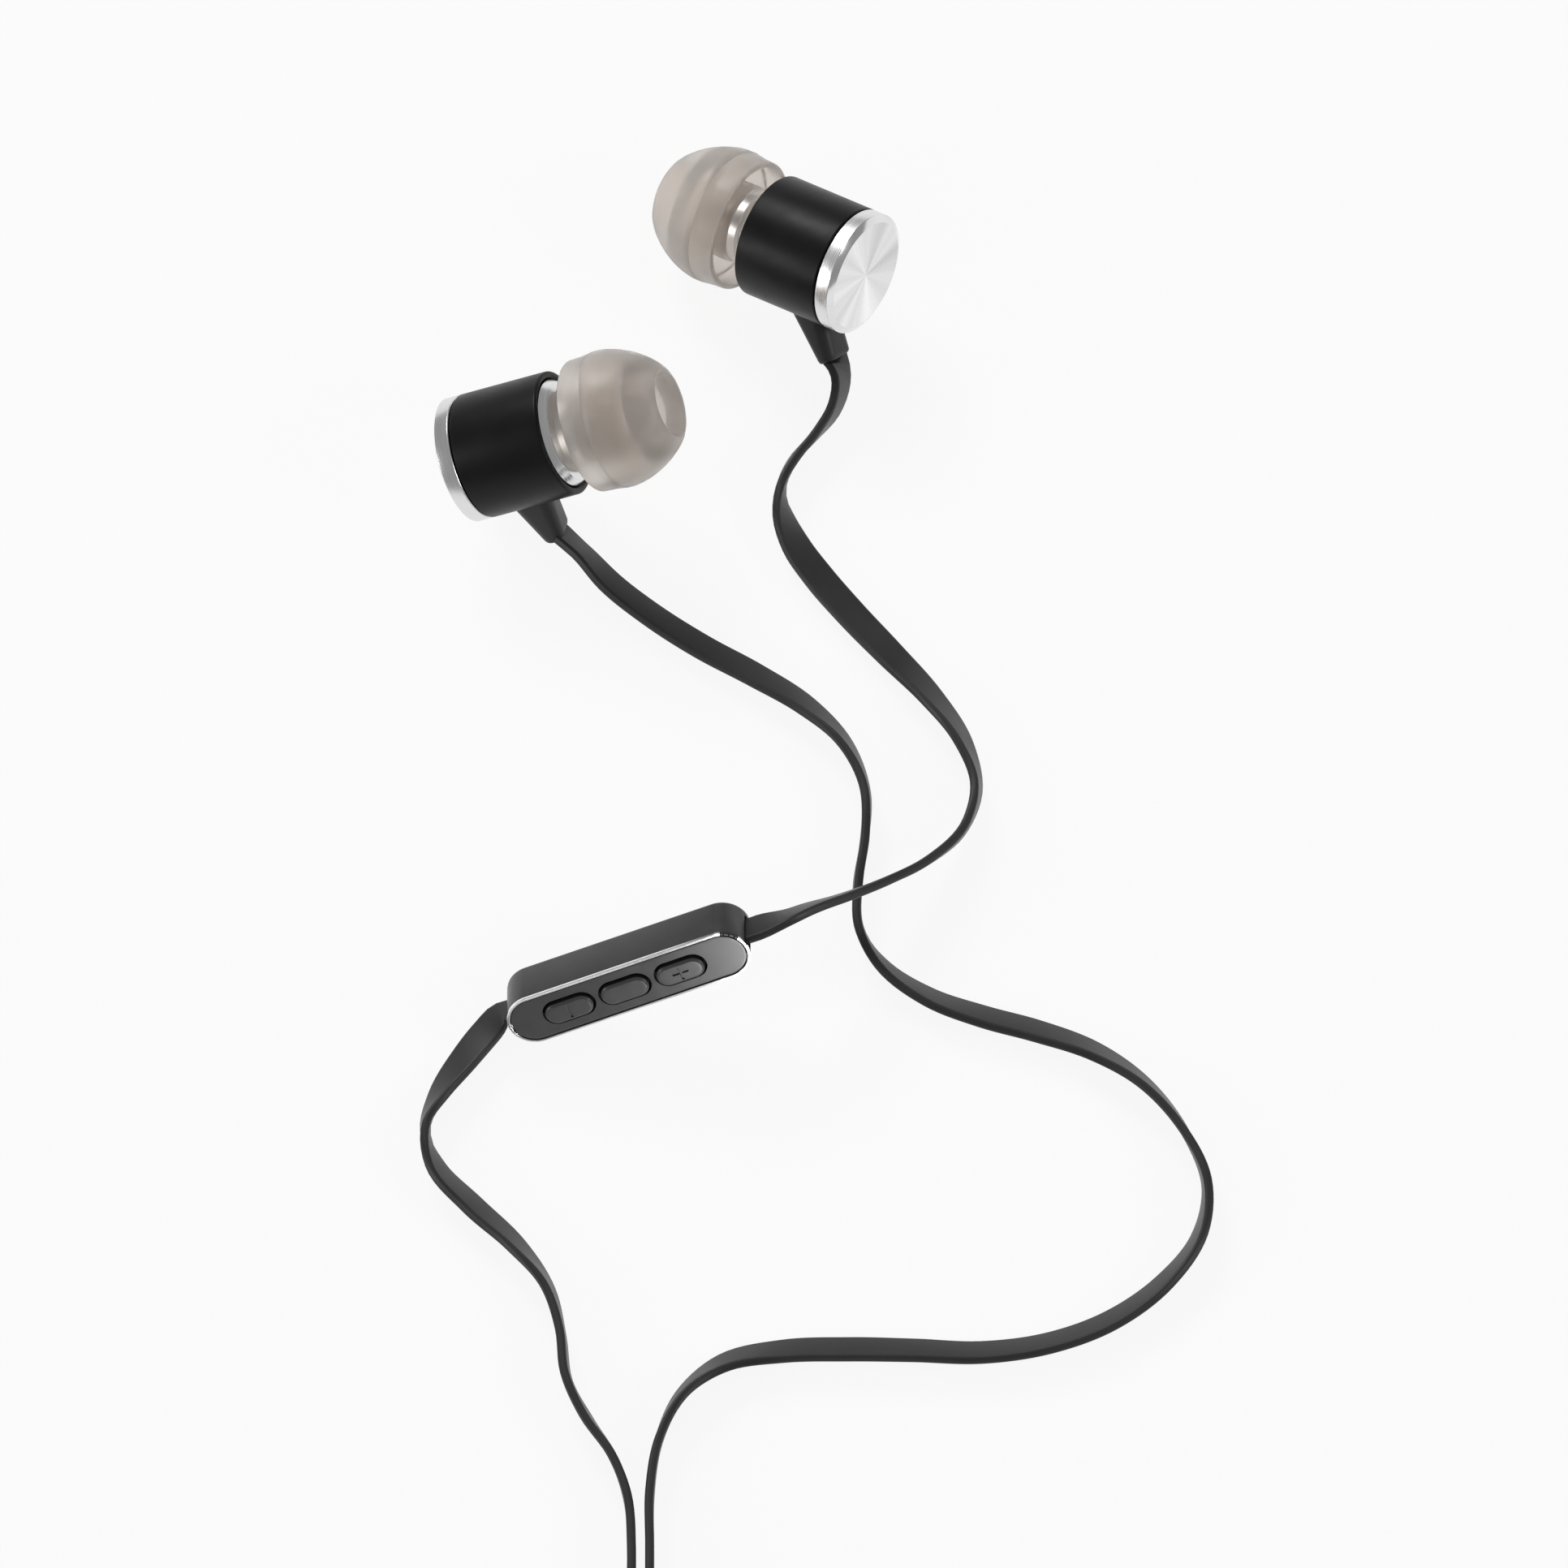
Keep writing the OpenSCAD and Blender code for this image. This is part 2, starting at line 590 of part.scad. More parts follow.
down = [0, -1, 0];
right_upper_route = concat(
    [with_tilt(right_exit, right_exit_tilt)], right_upper_points,
    [with_tilt(remote_point([remote_len / 2 + 1, 0, 0]), remote_tilt),
     with_tilt(remote_point([remote_len / 2 + touch, 0, 0]), remote_tilt),
     with_tilt(remote_right, remote_tilt)]
);
right_lower_route = concat(
    [with_tilt(remote_left, remote_tilt),
     with_tilt(remote_point([-remote_len / 2 - touch, 0, 0]), remote_tilt),
     with_tilt(remote_point([-remote_len / 2 - 0.7, 0, 0]), remote_tilt)],
    right_lower_points,
    [[splitter_at.x - arm_side, arm_y - 0.5, splitter_at.z, 90],
     [splitter_at.x - arm_side, joint_y0 + touch, splitter_at.z, 90]]
);
left_route = concat(
    [with_tilt(left_exit, left_exit_tilt)], left_points,
    [[splitter_at.x + arm_side, arm_y - 0.5, splitter_at.z, 90],
     [splitter_at.x + arm_side, joint_y0 + touch, splitter_at.z, 90]]
);

module right_cord_upper() color(dark_rubber)
    tube(route_rings(right_upper_route, ear_exit_dir(right_ear), -remote_along,
        ribbon_section(cord_w, cord_t)));

module right_cord_lower() color(dark_rubber)
    tube(route_rings(right_lower_route, -remote_along, down, ribbon_section(cord_w, cord_t)));

module left_cord() color(dark_rubber)
    tube(route_rings(left_route, ear_exit_dir(left_ear), down, ribbon_section(cord_w, cord_t)));

module splitter_outline() rounded_bar(splitter_w, splitter_len, 1.8);

module splitter_shell(z0, z1, floor_at) color(black_metal)
    translate(origin + [splitter_at.x, arm_y - splitter_len / 2, 0])
        difference() {
            translate([0, 0, z0]) linear_extrude(height = z1 - z0) splitter_outline();
            translate([0, 0, floor_at]) linear_extrude(height = splitter_h - 2 * splitter_wall)
                rounded_bar(splitter_w - 1.2, splitter_len - 1.2, 1.2);
            // ways in for the two arms and out for the main cord
            translate([-arm_side - cord_t / 2 - fit, 0, splitter_h / 2 - cord_w / 2 - fit])
                cube([2 * arm_side + cord_t + 2 * fit, splitter_len, cord_w + 2 * fit]);
            translate([-cord_t / 2 - fit, -splitter_len, splitter_h / 2 - cord_w / 2 - fit])
                cube([cord_t + 2 * fit, splitter_len, cord_w + 2 * fit]);
        }

module splitter_top_shell()
    splitter_shell(splitter_h / 2 + touch / 2, splitter_h, splitter_wall);

module splitter_bottom_shell()
    splitter_shell(0, splitter_h / 2 - touch / 2, splitter_wall);

module splitter_joint() color(dark_rubber)
    translate(origin + [splitter_at.x, (joint_y0 + joint_y1) / 2, splitter_h / 2])
        cube([splitter_w - 1.2 - 2 * fit, joint_len, splitter_h - 2 * splitter_wall - 2 * fit],
            center = true);

// ---- Main cord: lead, wound turns in two layers, tail ----

coil_at = [splitter_at.x + coil_r, -119];
loop_rings = 24;
climb = 0.5;                    // turns over which the cord climbs a layer
lower_turns = (coil_turns - climb) / 2;
lower_z = coil_lift + cord_w / 2;

// Radius and height after u turns: in, up while the way reverses, and out
function wound_r(u) = let(mid = coil_turns / 2) coil_r - coil_pitch * (mid - abs(u - mid));
function wound_z(u) = let(s = min(1, max(0, (u - lower_turns) / climb)))
    lower_z + layer_step * s * s * (3 - 2 * s);
function wound_point(u) = let(a = 180 + 360 * u)
    [coil_at.x + wound_r(u) * cos(a), coil_at.y + wound_r(u) * sin(a), wound_z(u)];

coil_steps = round(coil_turns * loop_rings);
coil_points = [for (i = [0:coil_steps]) wound_point(coil_turns * i / coil_steps)];
coil_end = wound_point(coil_turns);
tail_x = coil_end.x;
stub = cord_w;                  // straight length at each end of the turns
coil_route = concat(
    [[coil_points[0].x, coil_points[0].y + stub, lower_z, 90]],
    [for (p = coil_points) with_tilt(p, 90)],
    [[tail_x + stub, coil_end.y, coil_end.z, 90]]
);

module main_cord_coil() color(dark_rubber)
    tube(route_rings(coil_route, down, [1, 0, 0], wound_section(cord_w, cord_t)));

// Least clear distance of the wound turns to themselves: turns a layer apart
// clear each other by height, and the others by the radial step
function clear_gap(p, q) = let(
    flat = max(0, norm([p.x - q.x, p.y - q.y]) - cord_t),
    high = max(0, abs(p.z - q.z) - cord_w)
) norm([flat, high]);
least_gap = min([for (i = [0:coil_steps]) for (j = [i + 12:coil_steps])
    clear_gap(coil_points[i], coil_points[j])]);
echo(least_gap_of_wound_turns = least_gap);

lead_route = [
    [splitter_at.x, joint_y1 - touch, splitter_at.z, 90],
    [splitter_at.x, arm_y - splitter_len - 1, splitter_at.z, 90],
    [splitter_at.x, (arm_y - splitter_len + coil_at.y + stub) / 2, (splitter_at.z + lower_z) / 2, 90],
    [splitter_at.x, coil_at.y + stub, lower_z, 90]
];

module main_cord_lead() color(dark_rubber)
    tube(route_rings(lead_route, down, down, ribbon_section(cord_w, cord_t)));

grip_r = grip_d / 2;
plug_z = grip_r + touch;
plug_x = tail_x + 24;           // rear end of the plug's boot
plug_y = coil_end.y;
tail_route = [
    [tail_x + stub, plug_y, coil_end.z, 90],
    [tail_x + 7, plug_y, coil_end.z - 0.5, 90],
    [tail_x + 12, plug_y, (coil_end.z + plug_z) / 2, 90],
    [tail_x + 17, plug_y, plug_z + 0.5, 90],
    [tail_x + 21, plug_y, plug_z, 90],
    [plug_x, plug_y, plug_z, 90]
];

module main_cord_tail() color(dark_rubber)
    tube(route_rings(tail_route, [1, 0, 0], [1, 0, 0], ribbon_section(cord_w, cord_t)));

tie_t = 0.7;
tie_w = 5;
tie_gap = 0.1;

module cord_tie() color(black_metal) {
    inner_r = wound_r(coil_turns / 2) - cord_t / 2 - tie_gap;
    outer_r = coil_r + cord_t / 2 + tie_gap;
    low = coil_lift - tie_gap;
    high = lower_z + layer_step + cord_w / 2 + tie_gap;
    translate(origin + [coil_at.x, coil_at.y - tie_w / 2, 0])
        difference() {
            translate([inner_r - tie_t, 0, low - tie_t])
                cube([outer_r - inner_r + 2 * tie_t, tie_w, high - low + 2 * tie_t]);
            translate([inner_r, -1, low]) cube([outer_r - inner_r, tie_w + 2, high - low]);
        }
}

// ---- Plug, its own frame: Z along the axis, z = 0 at the grip's shoulder ----

plug_r = plug_d / 2;
core_r = 1.1;
contact_r = core_r + fit;
collar = 0.6;                   // length of an insulating collar
ring_contact = 2;               // length of a ring contact
tip_contact = 2.9;              // length of the tip contact
sleeve_contact = plug_len - tip_contact - 2 * ring_contact - 3 * collar;
shoulder_x = plug_x + boot_len + grip_len;

module place_plug()
    translate(origin + [shoulder_x, plug_y, plug_z]) rotate([0, 90, 0]) children();

module hollow(r1, r0, h) rotate_extrude() translate([r0, 0]) square([r1 - r0, h]);

module plug_boot() color(dark_rubber)
    difference() {
        rotate_extrude() polygon([
            [0, -grip_len - boot_len + touch], [1.9, -grip_len - boot_len + touch],
            [2.5, -grip_len], [2.5, -grip_len + 2], [0, -grip_len + 2]
        ]);
        for (k = [0:3]) translate([0, 0, -grip_len - boot_len + 1.6 + 1.7 * k])
            hollow(4, 1.8 + 0.12 * k, 0.5);
    }

module plug_grip() color(black_metal)
    rotate_extrude() polygon([
        [2.5 + fit, -grip_len], [grip_r - 0.4, -grip_len], [grip_r, -grip_len + 0.4],
        [grip_r, -0.4], [grip_r - 0.4, 0], [contact_r, 0], [contact_r, -1.5],
        [0, -1.5], [0, -grip_len + 2 + touch], [2.5 + fit, -grip_len + 2 + touch]
    ]);

module plug_sleeve_contact() color(contact_metal)
    translate([0, 0, touch]) hollow(plug_r, contact_r, sleeve_contact - touch);

module plug_ring_contacts() color(contact_metal)
    for (k = [0:1])
        translate([0, 0, sleeve_contact + collar + k * (ring_contact + collar)])
            hollow(plug_r, contact_r, ring_contact);

module plug_tip_contact() color(contact_metal) {
    z0 = plug_len - tip_contact;
    rotate_extrude() polygon([
        [contact_r, z0], [plug_r, z0], [plug_r, z0 + 0.2], [1.2, z0 + 1.1],
        [1.7, z0 + 1.9], [0.7, plug_len], [0, plug_len], [0, z0 + 1], [contact_r, z0 + 1]
    ]);
}

module plug_insulator() color("black") {
    translate([0, 0, -1.5 + touch])
        cylinder(r = core_r, h = plug_len - tip_contact + 2.5 - 2 * touch);
    for (k = [0:2])
        translate([0, 0, sleeve_contact + touch + k * (ring_contact + collar)])
            cylinder(r = plug_r, h = collar - 2 * touch);
}

place_ear(right_ear) rear_cap();  // right_rear_cap
place_ear(right_ear) housing_sleeve();  // right_housing_sleeve
place_ear(right_ear) front_nozzle();  // right_front_nozzle
place_ear(right_ear) nozzle_mesh();  // right_nozzle_mesh
place_ear(right_ear) driver_frame();  // right_driver_frame
place_ear(right_ear) driver_magnet();  // right_driver_magnet
place_ear(right_ear) driver_diaphragm();  // right_driver_diaphragm
place_ear(right_ear) strain_relief(right_ear);  // right_strain_relief
place_ear(right_ear) ear_tip();  // right_ear_tip
place_ear(left_ear) rear_cap();  // left_rear_cap
place_ear(left_ear) housing_sleeve();  // left_housing_sleeve
place_ear(left_ear) front_nozzle();  // left_front_nozzle
place_ear(left_ear) nozzle_mesh();  // left_nozzle_mesh
place_ear(left_ear) driver_frame();  // left_driver_frame
place_ear(left_ear) driver_magnet();  // left_driver_magnet
place_ear(left_ear) driver_diaphragm();  // left_driver_diaphragm
place_ear(left_ear) strain_relief(left_ear);  // left_strain_relief
place_ear(left_ear) ear_tip();  // left_ear_tip
place_remote() remote_shell();
place_remote() remote_face();
place_remote() remote_trim_ring();
place_remote() remote_button(-1);  // volume_down_button
place_remote() remote_button(0);  // centre_button
place_remote() remote_button(1);  // volume_up_button
place_remote() remote_board();
place_remote() dome_switches();
place_remote() microphone();
place_remote() microphone_grille();
right_cord_upper();
right_cord_lower();
left_cord();
splitter_top_shell();
splitter_bottom_shell();
splitter_joint();
main_cord_lead();
main_cord_coil();
main_cord_tail();
cord_tie();
place_plug() plug_boot();
place_plug() plug_grip();
place_plug() plug_sleeve_contact();
place_plug() plug_ring_contacts();
place_plug() plug_tip_contact();
place_plug() plug_insulator();
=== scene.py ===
"""Wired in-ear earphones: turned metal earpieces with silicone ear tips, a three-button
remote, flat ribbon cords, a splitter, a wound main cord and a four-pole plug."""

import math

import bmesh
import bpy
from mathutils import Matrix, Vector


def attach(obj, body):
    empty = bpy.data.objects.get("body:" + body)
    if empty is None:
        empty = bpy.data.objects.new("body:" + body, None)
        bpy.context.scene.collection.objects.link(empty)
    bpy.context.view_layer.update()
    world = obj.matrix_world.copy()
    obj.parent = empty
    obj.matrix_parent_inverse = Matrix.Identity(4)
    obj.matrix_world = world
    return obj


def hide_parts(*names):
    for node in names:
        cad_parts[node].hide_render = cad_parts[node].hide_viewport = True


bl_info = {
    "name": "Wired earphones",
    "version": (1, 0, 0),
    "blender": (4, 5, 0),
    "location": "View3D > Sidebar > Earphones",
    "description": "Builds wired in-ear earphones piece by piece on their packed frame",
    "category": "Object",
}

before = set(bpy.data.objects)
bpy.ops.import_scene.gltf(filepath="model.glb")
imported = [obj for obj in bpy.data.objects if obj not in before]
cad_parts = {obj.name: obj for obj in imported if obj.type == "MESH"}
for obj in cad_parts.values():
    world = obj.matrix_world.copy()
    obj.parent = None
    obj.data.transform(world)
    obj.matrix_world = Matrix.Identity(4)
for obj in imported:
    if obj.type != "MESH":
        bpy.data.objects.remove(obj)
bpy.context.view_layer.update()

# Every form is written in millimetres and set down in metres
MM = 0.001
ORIGIN = Vector((0.33, -0.24, 0))

# Each earpiece: sleeve front centre, yaw, pitch, roll, and bend of the strain relief
EARS = {
    "right": ((8.8, 33.5, 7.55), 148.5, -16.3, 35, 35),
    "left": ((-9.4, 12.9, 11.15), 4.7, 26, -31, -4),
}
SLEEVE_LEN = 8.5
TIP_Z = 10.75  # the ear tip's rear edge, along the earpiece
RELIEF_ROOT = (5.6, 0, 2.9)
RELIEF_REACH = 4.4

# The remote: middle of its case, turns about X, Y and Z, buttons and microphone bridge
REMOTE_AT = (-3.6, -36.6, 6.45)
REMOTE_TURN = (58, -20, 12)
BUTTON_PITCH = 5.3
BUTTON_SHIFT = 0.35
BUTTON_LEN = 4.4
BUTTON_WIDTH = 2.1
MIC_ANGLE = 52
MIC_HALF = 19

# Edges that turn by more than this are creased
SHARP = 32
# Headings just off the axes keep the ends of a whole bar's four corners apart
WHOLE_BAR = (0.5, 356.5)

# Routes of the ribbon cords: x, y, z and the tilt of the ribbon's width
RIGHT_UPPER = [
    (15, 21.8, 2.3, 114), (14.4, 19.2, 1.9, 94), (12.7, 16.8, 1.6, 78), (10.9, 14.5, 1.6, 74),
    (9.8, 12, 1.6, 86), (10, 9, 1.5, 124), (11.1, 6.3, 1.2, 150), (13, 3.5, 1, 160),
    (15.8, 0, 1, 160), (19.3, -4, 1.1, 154), (22.9, -8.2, 1.4, 138), (25.7, -12.5, 1.6, 120),
    (26.9, -17, 1.6, 98), (25.8, -21, 2.1, 82), (22.6, -24.8, 3.6, 70), (18.9, -27.7, 5.7, 66),
    (15.2, -30.2, 8, 62), (12.3, -32, 9.9, 56), (10, -33.4, 10.9, 48),
]
RIGHT_LOWER = [
    (-15.9, -40.2, 1.9, 24), (-18, -42.9, 1.7, 30), (-20.2, -46.2, 1.6, 54),
    (-21.4, -49.3, 1.6, 85), (-20.5, -52.9, 1.5, 122), (-17.3, -56.6, 1.4, 136),
    (-13.5, -60.4, 1.5, 128), (-10.7, -64.4, 1.6, 108), (-9.5, -68.8, 1.6, 96),
    (-9, -72.9, 1.6, 98),
    (-7.2, -76.8, 1.6, 106), (-4.9, -80.5, 1.6, 100), (-3.6, -84.5, 1.7, 93),
    (-3.3, -89, 1.8, 90), (-3.3, -93, 1.95, 90), (-3.3, -95.5, 1.95, 90), (-3.3, -98.98, 1.95, 90),
]
LEFT = [
    (-7.8, 5.5, 1.5, 132), (-5.4, 2.8, 1.3, 142), (-1.7, -0.3, 1.2, 146), (2.8, -3.4, 1.2, 148),
    (7.4, -6.1, 1.3, 146), (11.9, -9.1, 1.4, 136), (15.3, -12.7, 1.6, 116),
    (17.1, -17.1, 1.6, 98), (17.1, -21.8, 1.6, 87), (16.5, -26.2, 1.6, 86),
    (16.6, -30.4, 1.6, 96), (18.7, -34, 1.6, 118), (22.7, -36.9, 1.4, 134),
    (27.4, -38.7, 1.3, 142), (32.2, -40.1, 1.3, 142), (37.1, -42, 1.4, 134),
    (41.5, -45.1, 1.6, 118), (45, -49.6, 1.6, 103), (47, -54.7, 1.6, 88), (46.3, -59.6, 1.6, 68),
    (43.2, -64, 1.5, 52), (38.6, -67.5, 1.4, 44), (33, -69.7, 1.4, 41), (27.2, -70.5, 1.3, 38),
    (21.4, -70.3, 1.3, 36), (15.6, -70.2, 1.3, 34), (9.8, -70.4, 1.3, 37), (4.8, -71.5, 1.4, 48),
    (1.2, -74.4, 1.6, 68), (-0.9, -78.8, 1.6, 84), (-1.7, -84, 1.7, 90), (-1.7, -89, 1.8, 90),
    (-1.7, -93, 1.95, 90), (-1.7, -95.5, 1.95, 90), (-1.7, -98.98, 1.95, 90),
]
LEAD = [
    (-2.5, -103.02, 1.95, 90), (-2.5, -108, 1.95, 90), (-2.5, -111.5, 2.175, 90),
    (-2.5, -116, 2.4, 90),
]
TAIL = [
    (22, -140.5, 5.9, 90), (26, -140.5, 5.4, 90), (31, -140.5, 4.56, 90),
    (36, -140.5, 3.72, 90), (40, -140.5, 3.22, 90), (43, -140.5, 3.22, 90),
]

# The wound cord: two layers of turns, on edge, and the half turn that climbs between them
COIL_AT = (19, -119)
COIL_RADIUS = 21.5
COIL_PITCH = 1.9
COIL_TURNS = 9.25
COIL_CLIMB = 0.5
COIL_LOW = 2.4
COIL_LAYER = 3.5
POINTS_PER_TURN = 60

SPLITTER_AT = (-2.5, -101, 1.95)
PLUG_AT = (71, -140.5, 3.22)
BOOT_FOOT = -28

# The view: what it looks at, how far it leans, how far off it stands and how wide it is
VIEW_AT = (10.33, -16.24, 0)
VIEW_LEAN = 67
VIEW_DISTANCE = 3000
VIEW_WIDTH = 138
SENSOR = 36
FRONT_LIT = "lit by the front lamp"


class EarphoneSizes(bpy.types.PropertyGroup):
    """Sizes of the earphones, for the pieces that are made here"""

    sleeve_diameter: bpy.props.FloatProperty(
        name="Sleeve diameter", description="Outer diameter of the black housing sleeve",
        default=0.0112, min=0.009, max=0.014, precision=5, unit="LENGTH")
    tip_diameter: bpy.props.FloatProperty(
        name="Ear tip diameter", description="Largest diameter of the silicone ear tip",
        default=0.0124, min=0.01, max=0.014, precision=5, unit="LENGTH")
    cord_width: bpy.props.FloatProperty(
        name="Cord width", description="Width of the flat cord",
        default=0.003, min=0.002, max=0.004, precision=5, unit="LENGTH")
    cord_thickness: bpy.props.FloatProperty(
        name="Cord thickness", description="Thickness of the flat cord",
        default=0.0008, min=0.0006, max=0.0012, precision=5, unit="LENGTH")
    remote_length: bpy.props.FloatProperty(
        name="Remote length", description="Length of the remote",
        default=0.0228, min=0.02, max=0.026, precision=5, unit="LENGTH")
    remote_width: bpy.props.FloatProperty(
        name="Remote width", description="Width of the remote",
        default=0.005, min=0.0045, max=0.006, precision=5, unit="LENGTH")
    plug_diameter: bpy.props.FloatProperty(
        name="Plug diameter", description="Diameter of the plug's contacts",
        default=0.0035, min=0.0025, max=0.0064, precision=5, unit="LENGTH")


class EarphoneColours(bpy.types.PropertyGroup):
    """Colours of the finishes"""

    sleeve: bpy.props.FloatVectorProperty(
        name="Sleeve", description="Satin black of the housing sleeve",
        default=(0.004, 0.004, 0.0042), min=0, max=1, size=3, subtype="COLOR")
    metal: bpy.props.FloatVectorProperty(
        name="Metal", description="Turned aluminium of the cap and nozzle",
        default=(0.78, 0.78, 0.782), min=0, max=1, size=3, subtype="COLOR")
    silicone: bpy.props.FloatVectorProperty(
        name="Silicone", description="Smoky silicone of the ear tips",
        default=(0.9, 0.84, 0.79), min=0, max=1, size=3, subtype="COLOR")
    rubber: bpy.props.FloatVectorProperty(
        name="Rubber", description="Dark grey rubber of the cords",
        default=(0.03, 0.03, 0.0305), min=0, max=1, size=3, subtype="COLOR")
    plastic: bpy.props.FloatVectorProperty(
        name="Plastic", description="Dark grey plastic of the remote",
        default=(0.038, 0.038, 0.039), min=0, max=1, size=3, subtype="COLOR")
    floor: bpy.props.FloatVectorProperty(
        name="Floor", description="Colour of the floor",
        default=(0.9, 0.9, 0.9), min=0, max=1, size=3, subtype="COLOR")


def sizes():
    """The sizes that the panel shows."""
    return bpy.context.scene.earphone_sizes


def colours():
    """The colours that the panel shows."""
    return bpy.context.scene.earphone_colours


# ---- Places ----


def turn(degrees, axis):
    """A turn about an axis."""
    return Matrix.Rotation(math.radians(degrees), 4, axis)


def shift(point):
    """A move by a point in millimetres."""
    return Matrix.Translation(Vector(point) * MM)


def ear_place(side):
    """Frame of an earpiece: Z along its axis to the ear tip, from the sleeve's rear edge."""
    at, yaw, pitch, roll, _ = EARS[side]
    return (shift(ORIGIN + Vector(at)) @ turn(yaw, "Z") @ turn(90 - pitch, "Y")
            @ turn(roll, "Z") @ shift((0, 0, -SLEEVE_LEN)))


def remote_place():
    """Frame of the remote: X along it and Z out of its face."""
    x, y, z = REMOTE_TURN
    return shift(ORIGIN + Vector(REMOTE_AT)) @ turn(z, "Z") @ turn(y, "Y") @ turn(x, "X")


def plug_place():
    """Frame of the plug: Z along its contacts, from the grip's shoulder."""
    return shift(ORIGIN + Vector(PLUG_AT)) @ turn(90, "Y")


# ---- Forms ----


def rounded(points, closed=False, steps=4):
    """A polyline whose corners (x, y, radius) are turned into arcs; a bare (x, y) stays sharp."""
    out = []
    count = len(points)
    for i, p in enumerate(points):
        radius = p[2] if len(p) > 2 else 0
        here = Vector(p[:2])
        if radius == 0 or (not closed and i in (0, count - 1)):
            out.append(tuple(here))
            continue
        back = Vector(points[i - 1][:2]) - here
        on = Vector(points[(i + 1) % count][:2]) - here
        angle = back.angle(on)
        reach = min(radius / math.tan(angle / 2), back.length * 0.49, on.length * 0.49)
        start, end = here + back.normalized() * reach, here + on.normalized() * reach
        for k in range(steps + 1):
            t = k / steps
            out.append(tuple(start.lerp(here, t).lerp(here.lerp(end, t), t)))
    return out


def skin(rows, loop_rows=False, loop_columns=True, caps=True):
    """Faces over a grid of points, with flat caps on its first and last rows."""
    n, m = len(rows), len(rows[0])
    faces = []
    for i in range(n if loop_rows else n - 1):
        for j in range(m if loop_columns else m - 1):
            a, b = i * m, (i + 1) % n * m
            k = (j + 1) % m
            faces.append((a + j, a + k, b + k, b + j))
    if caps and not loop_rows:
        faces.append(tuple(reversed(range(m))))
        faces.append(tuple(range((n - 1) * m, n * m)))
    return faces


def piece(name, rows, place, body, sharp=SHARP, **how):
    """A smooth mesh over rows of points in millimetres, in a frame, riding on a body."""
    mesh = bpy.data.meshes.new(name)
    mesh.from_pydata([Vector(p) * MM for row in rows for p in row], [], skin(rows, **how))
    form = bmesh.new()
    form.from_mesh(mesh)
    bmesh.ops.remove_doubles(form, verts=form.verts, dist=1e-7)
    bmesh.ops.recalc_face_normals(form, faces=form.faces)
    form.to_mesh(mesh)
    form.free()
    mesh.shade_smooth()
    mesh.set_sharp_from_angle(angle=math.radians(sharp))
    obj = bpy.data.objects.new(name, mesh)
    bpy.context.scene.collection.objects.link(obj)
    obj.matrix_world = place
    if body:
        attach(obj, body)
    return obj


def turned(name, profile, place, body, steps=128, closed=False, sharp=SHARP):
    """A piece turned about its Z axis from a profile of (radius, z)."""
    rows = [[(r * math.cos(a), r * math.sin(a), z)
             for a in (math.tau * k / steps for k in range(steps))] for r, z in profile]
    return piece(name, rows, place, body, sharp=sharp, loop_rows=closed, caps=not closed)


def outline(length, width, radius, start, end, step=4):
    """Headings along a rounded bar's outline, each with its corner's centre."""
    count = max(2, round((end - start) / step) + 1)
    x, y = length / 2 - radius, width / 2 - radius
    return [(math.radians(start + (end - start) * k / (count - 1)), x, y)
            for k in range(count)]


def rim(spots, radius, inset, z):
    """The outline's points at a distance inside it."""
    row = []
    for a, x, y in spots:
        c, s = math.cos(a), math.sin(a)
        row.append((math.copysign(x, c) + c * (radius - inset),
                    math.copysign(y, s) + s * (radius - inset), z))
    return row


def bar(name, length, width, radius, profile, place, body, closed=False, span=None):
    """A bar with a rounded outline from a profile of (inset, z), whole or over a span."""
    spots = outline(length, width, radius, *(span or WHOLE_BAR))
    rows = [rim(spots, radius, inset, z) for inset, z in profile]
    if span:
        return piece(name, [list(column) for column in zip(*rows)], place, body)
    return piece(name, rows, place, body, loop_rows=closed, caps=not closed)


def carve(obj, *cutters):
    """Cuts the cutters out of a piece."""
    for cutter in cutters:
        cut = obj.modifiers.new("cut", "BOOLEAN")
        cut.operation = "DIFFERENCE"
        cut.solver = "EXACT"
        cut.object = cutter
    bpy.context.view_layer.update()
    shape = obj.evaluated_get(bpy.context.evaluated_depsgraph_get())
    mesh = bpy.data.meshes.new_from_object(shape)
    obj.modifiers.clear()
    mesh.materials.clear()
    mesh.shade_smooth()
    mesh.set_sharp_from_angle(angle=math.radians(SHARP))
    obj.data = mesh
    for cutter in cutters:
        bpy.data.objects.remove(cutter)
    return obj


def box_cutter(size, at, place):
    """A plain block that is only used to cut."""
    x, y, z = (s / 2 for s in size)
    rows = [[(-x, -y, k), (x, -y, k), (x, y, k), (-x, y, k)] for k in (-z, z)]
    return piece("cutter", rows, place @ shift(at), None)


def button_place(k):
    """Frame of a button, counted from the middle one."""
    return remote_place() @ shift((k * BUTTON_PITCH - BUTTON_SHIFT, 0, 0))


# ---- Routes ----


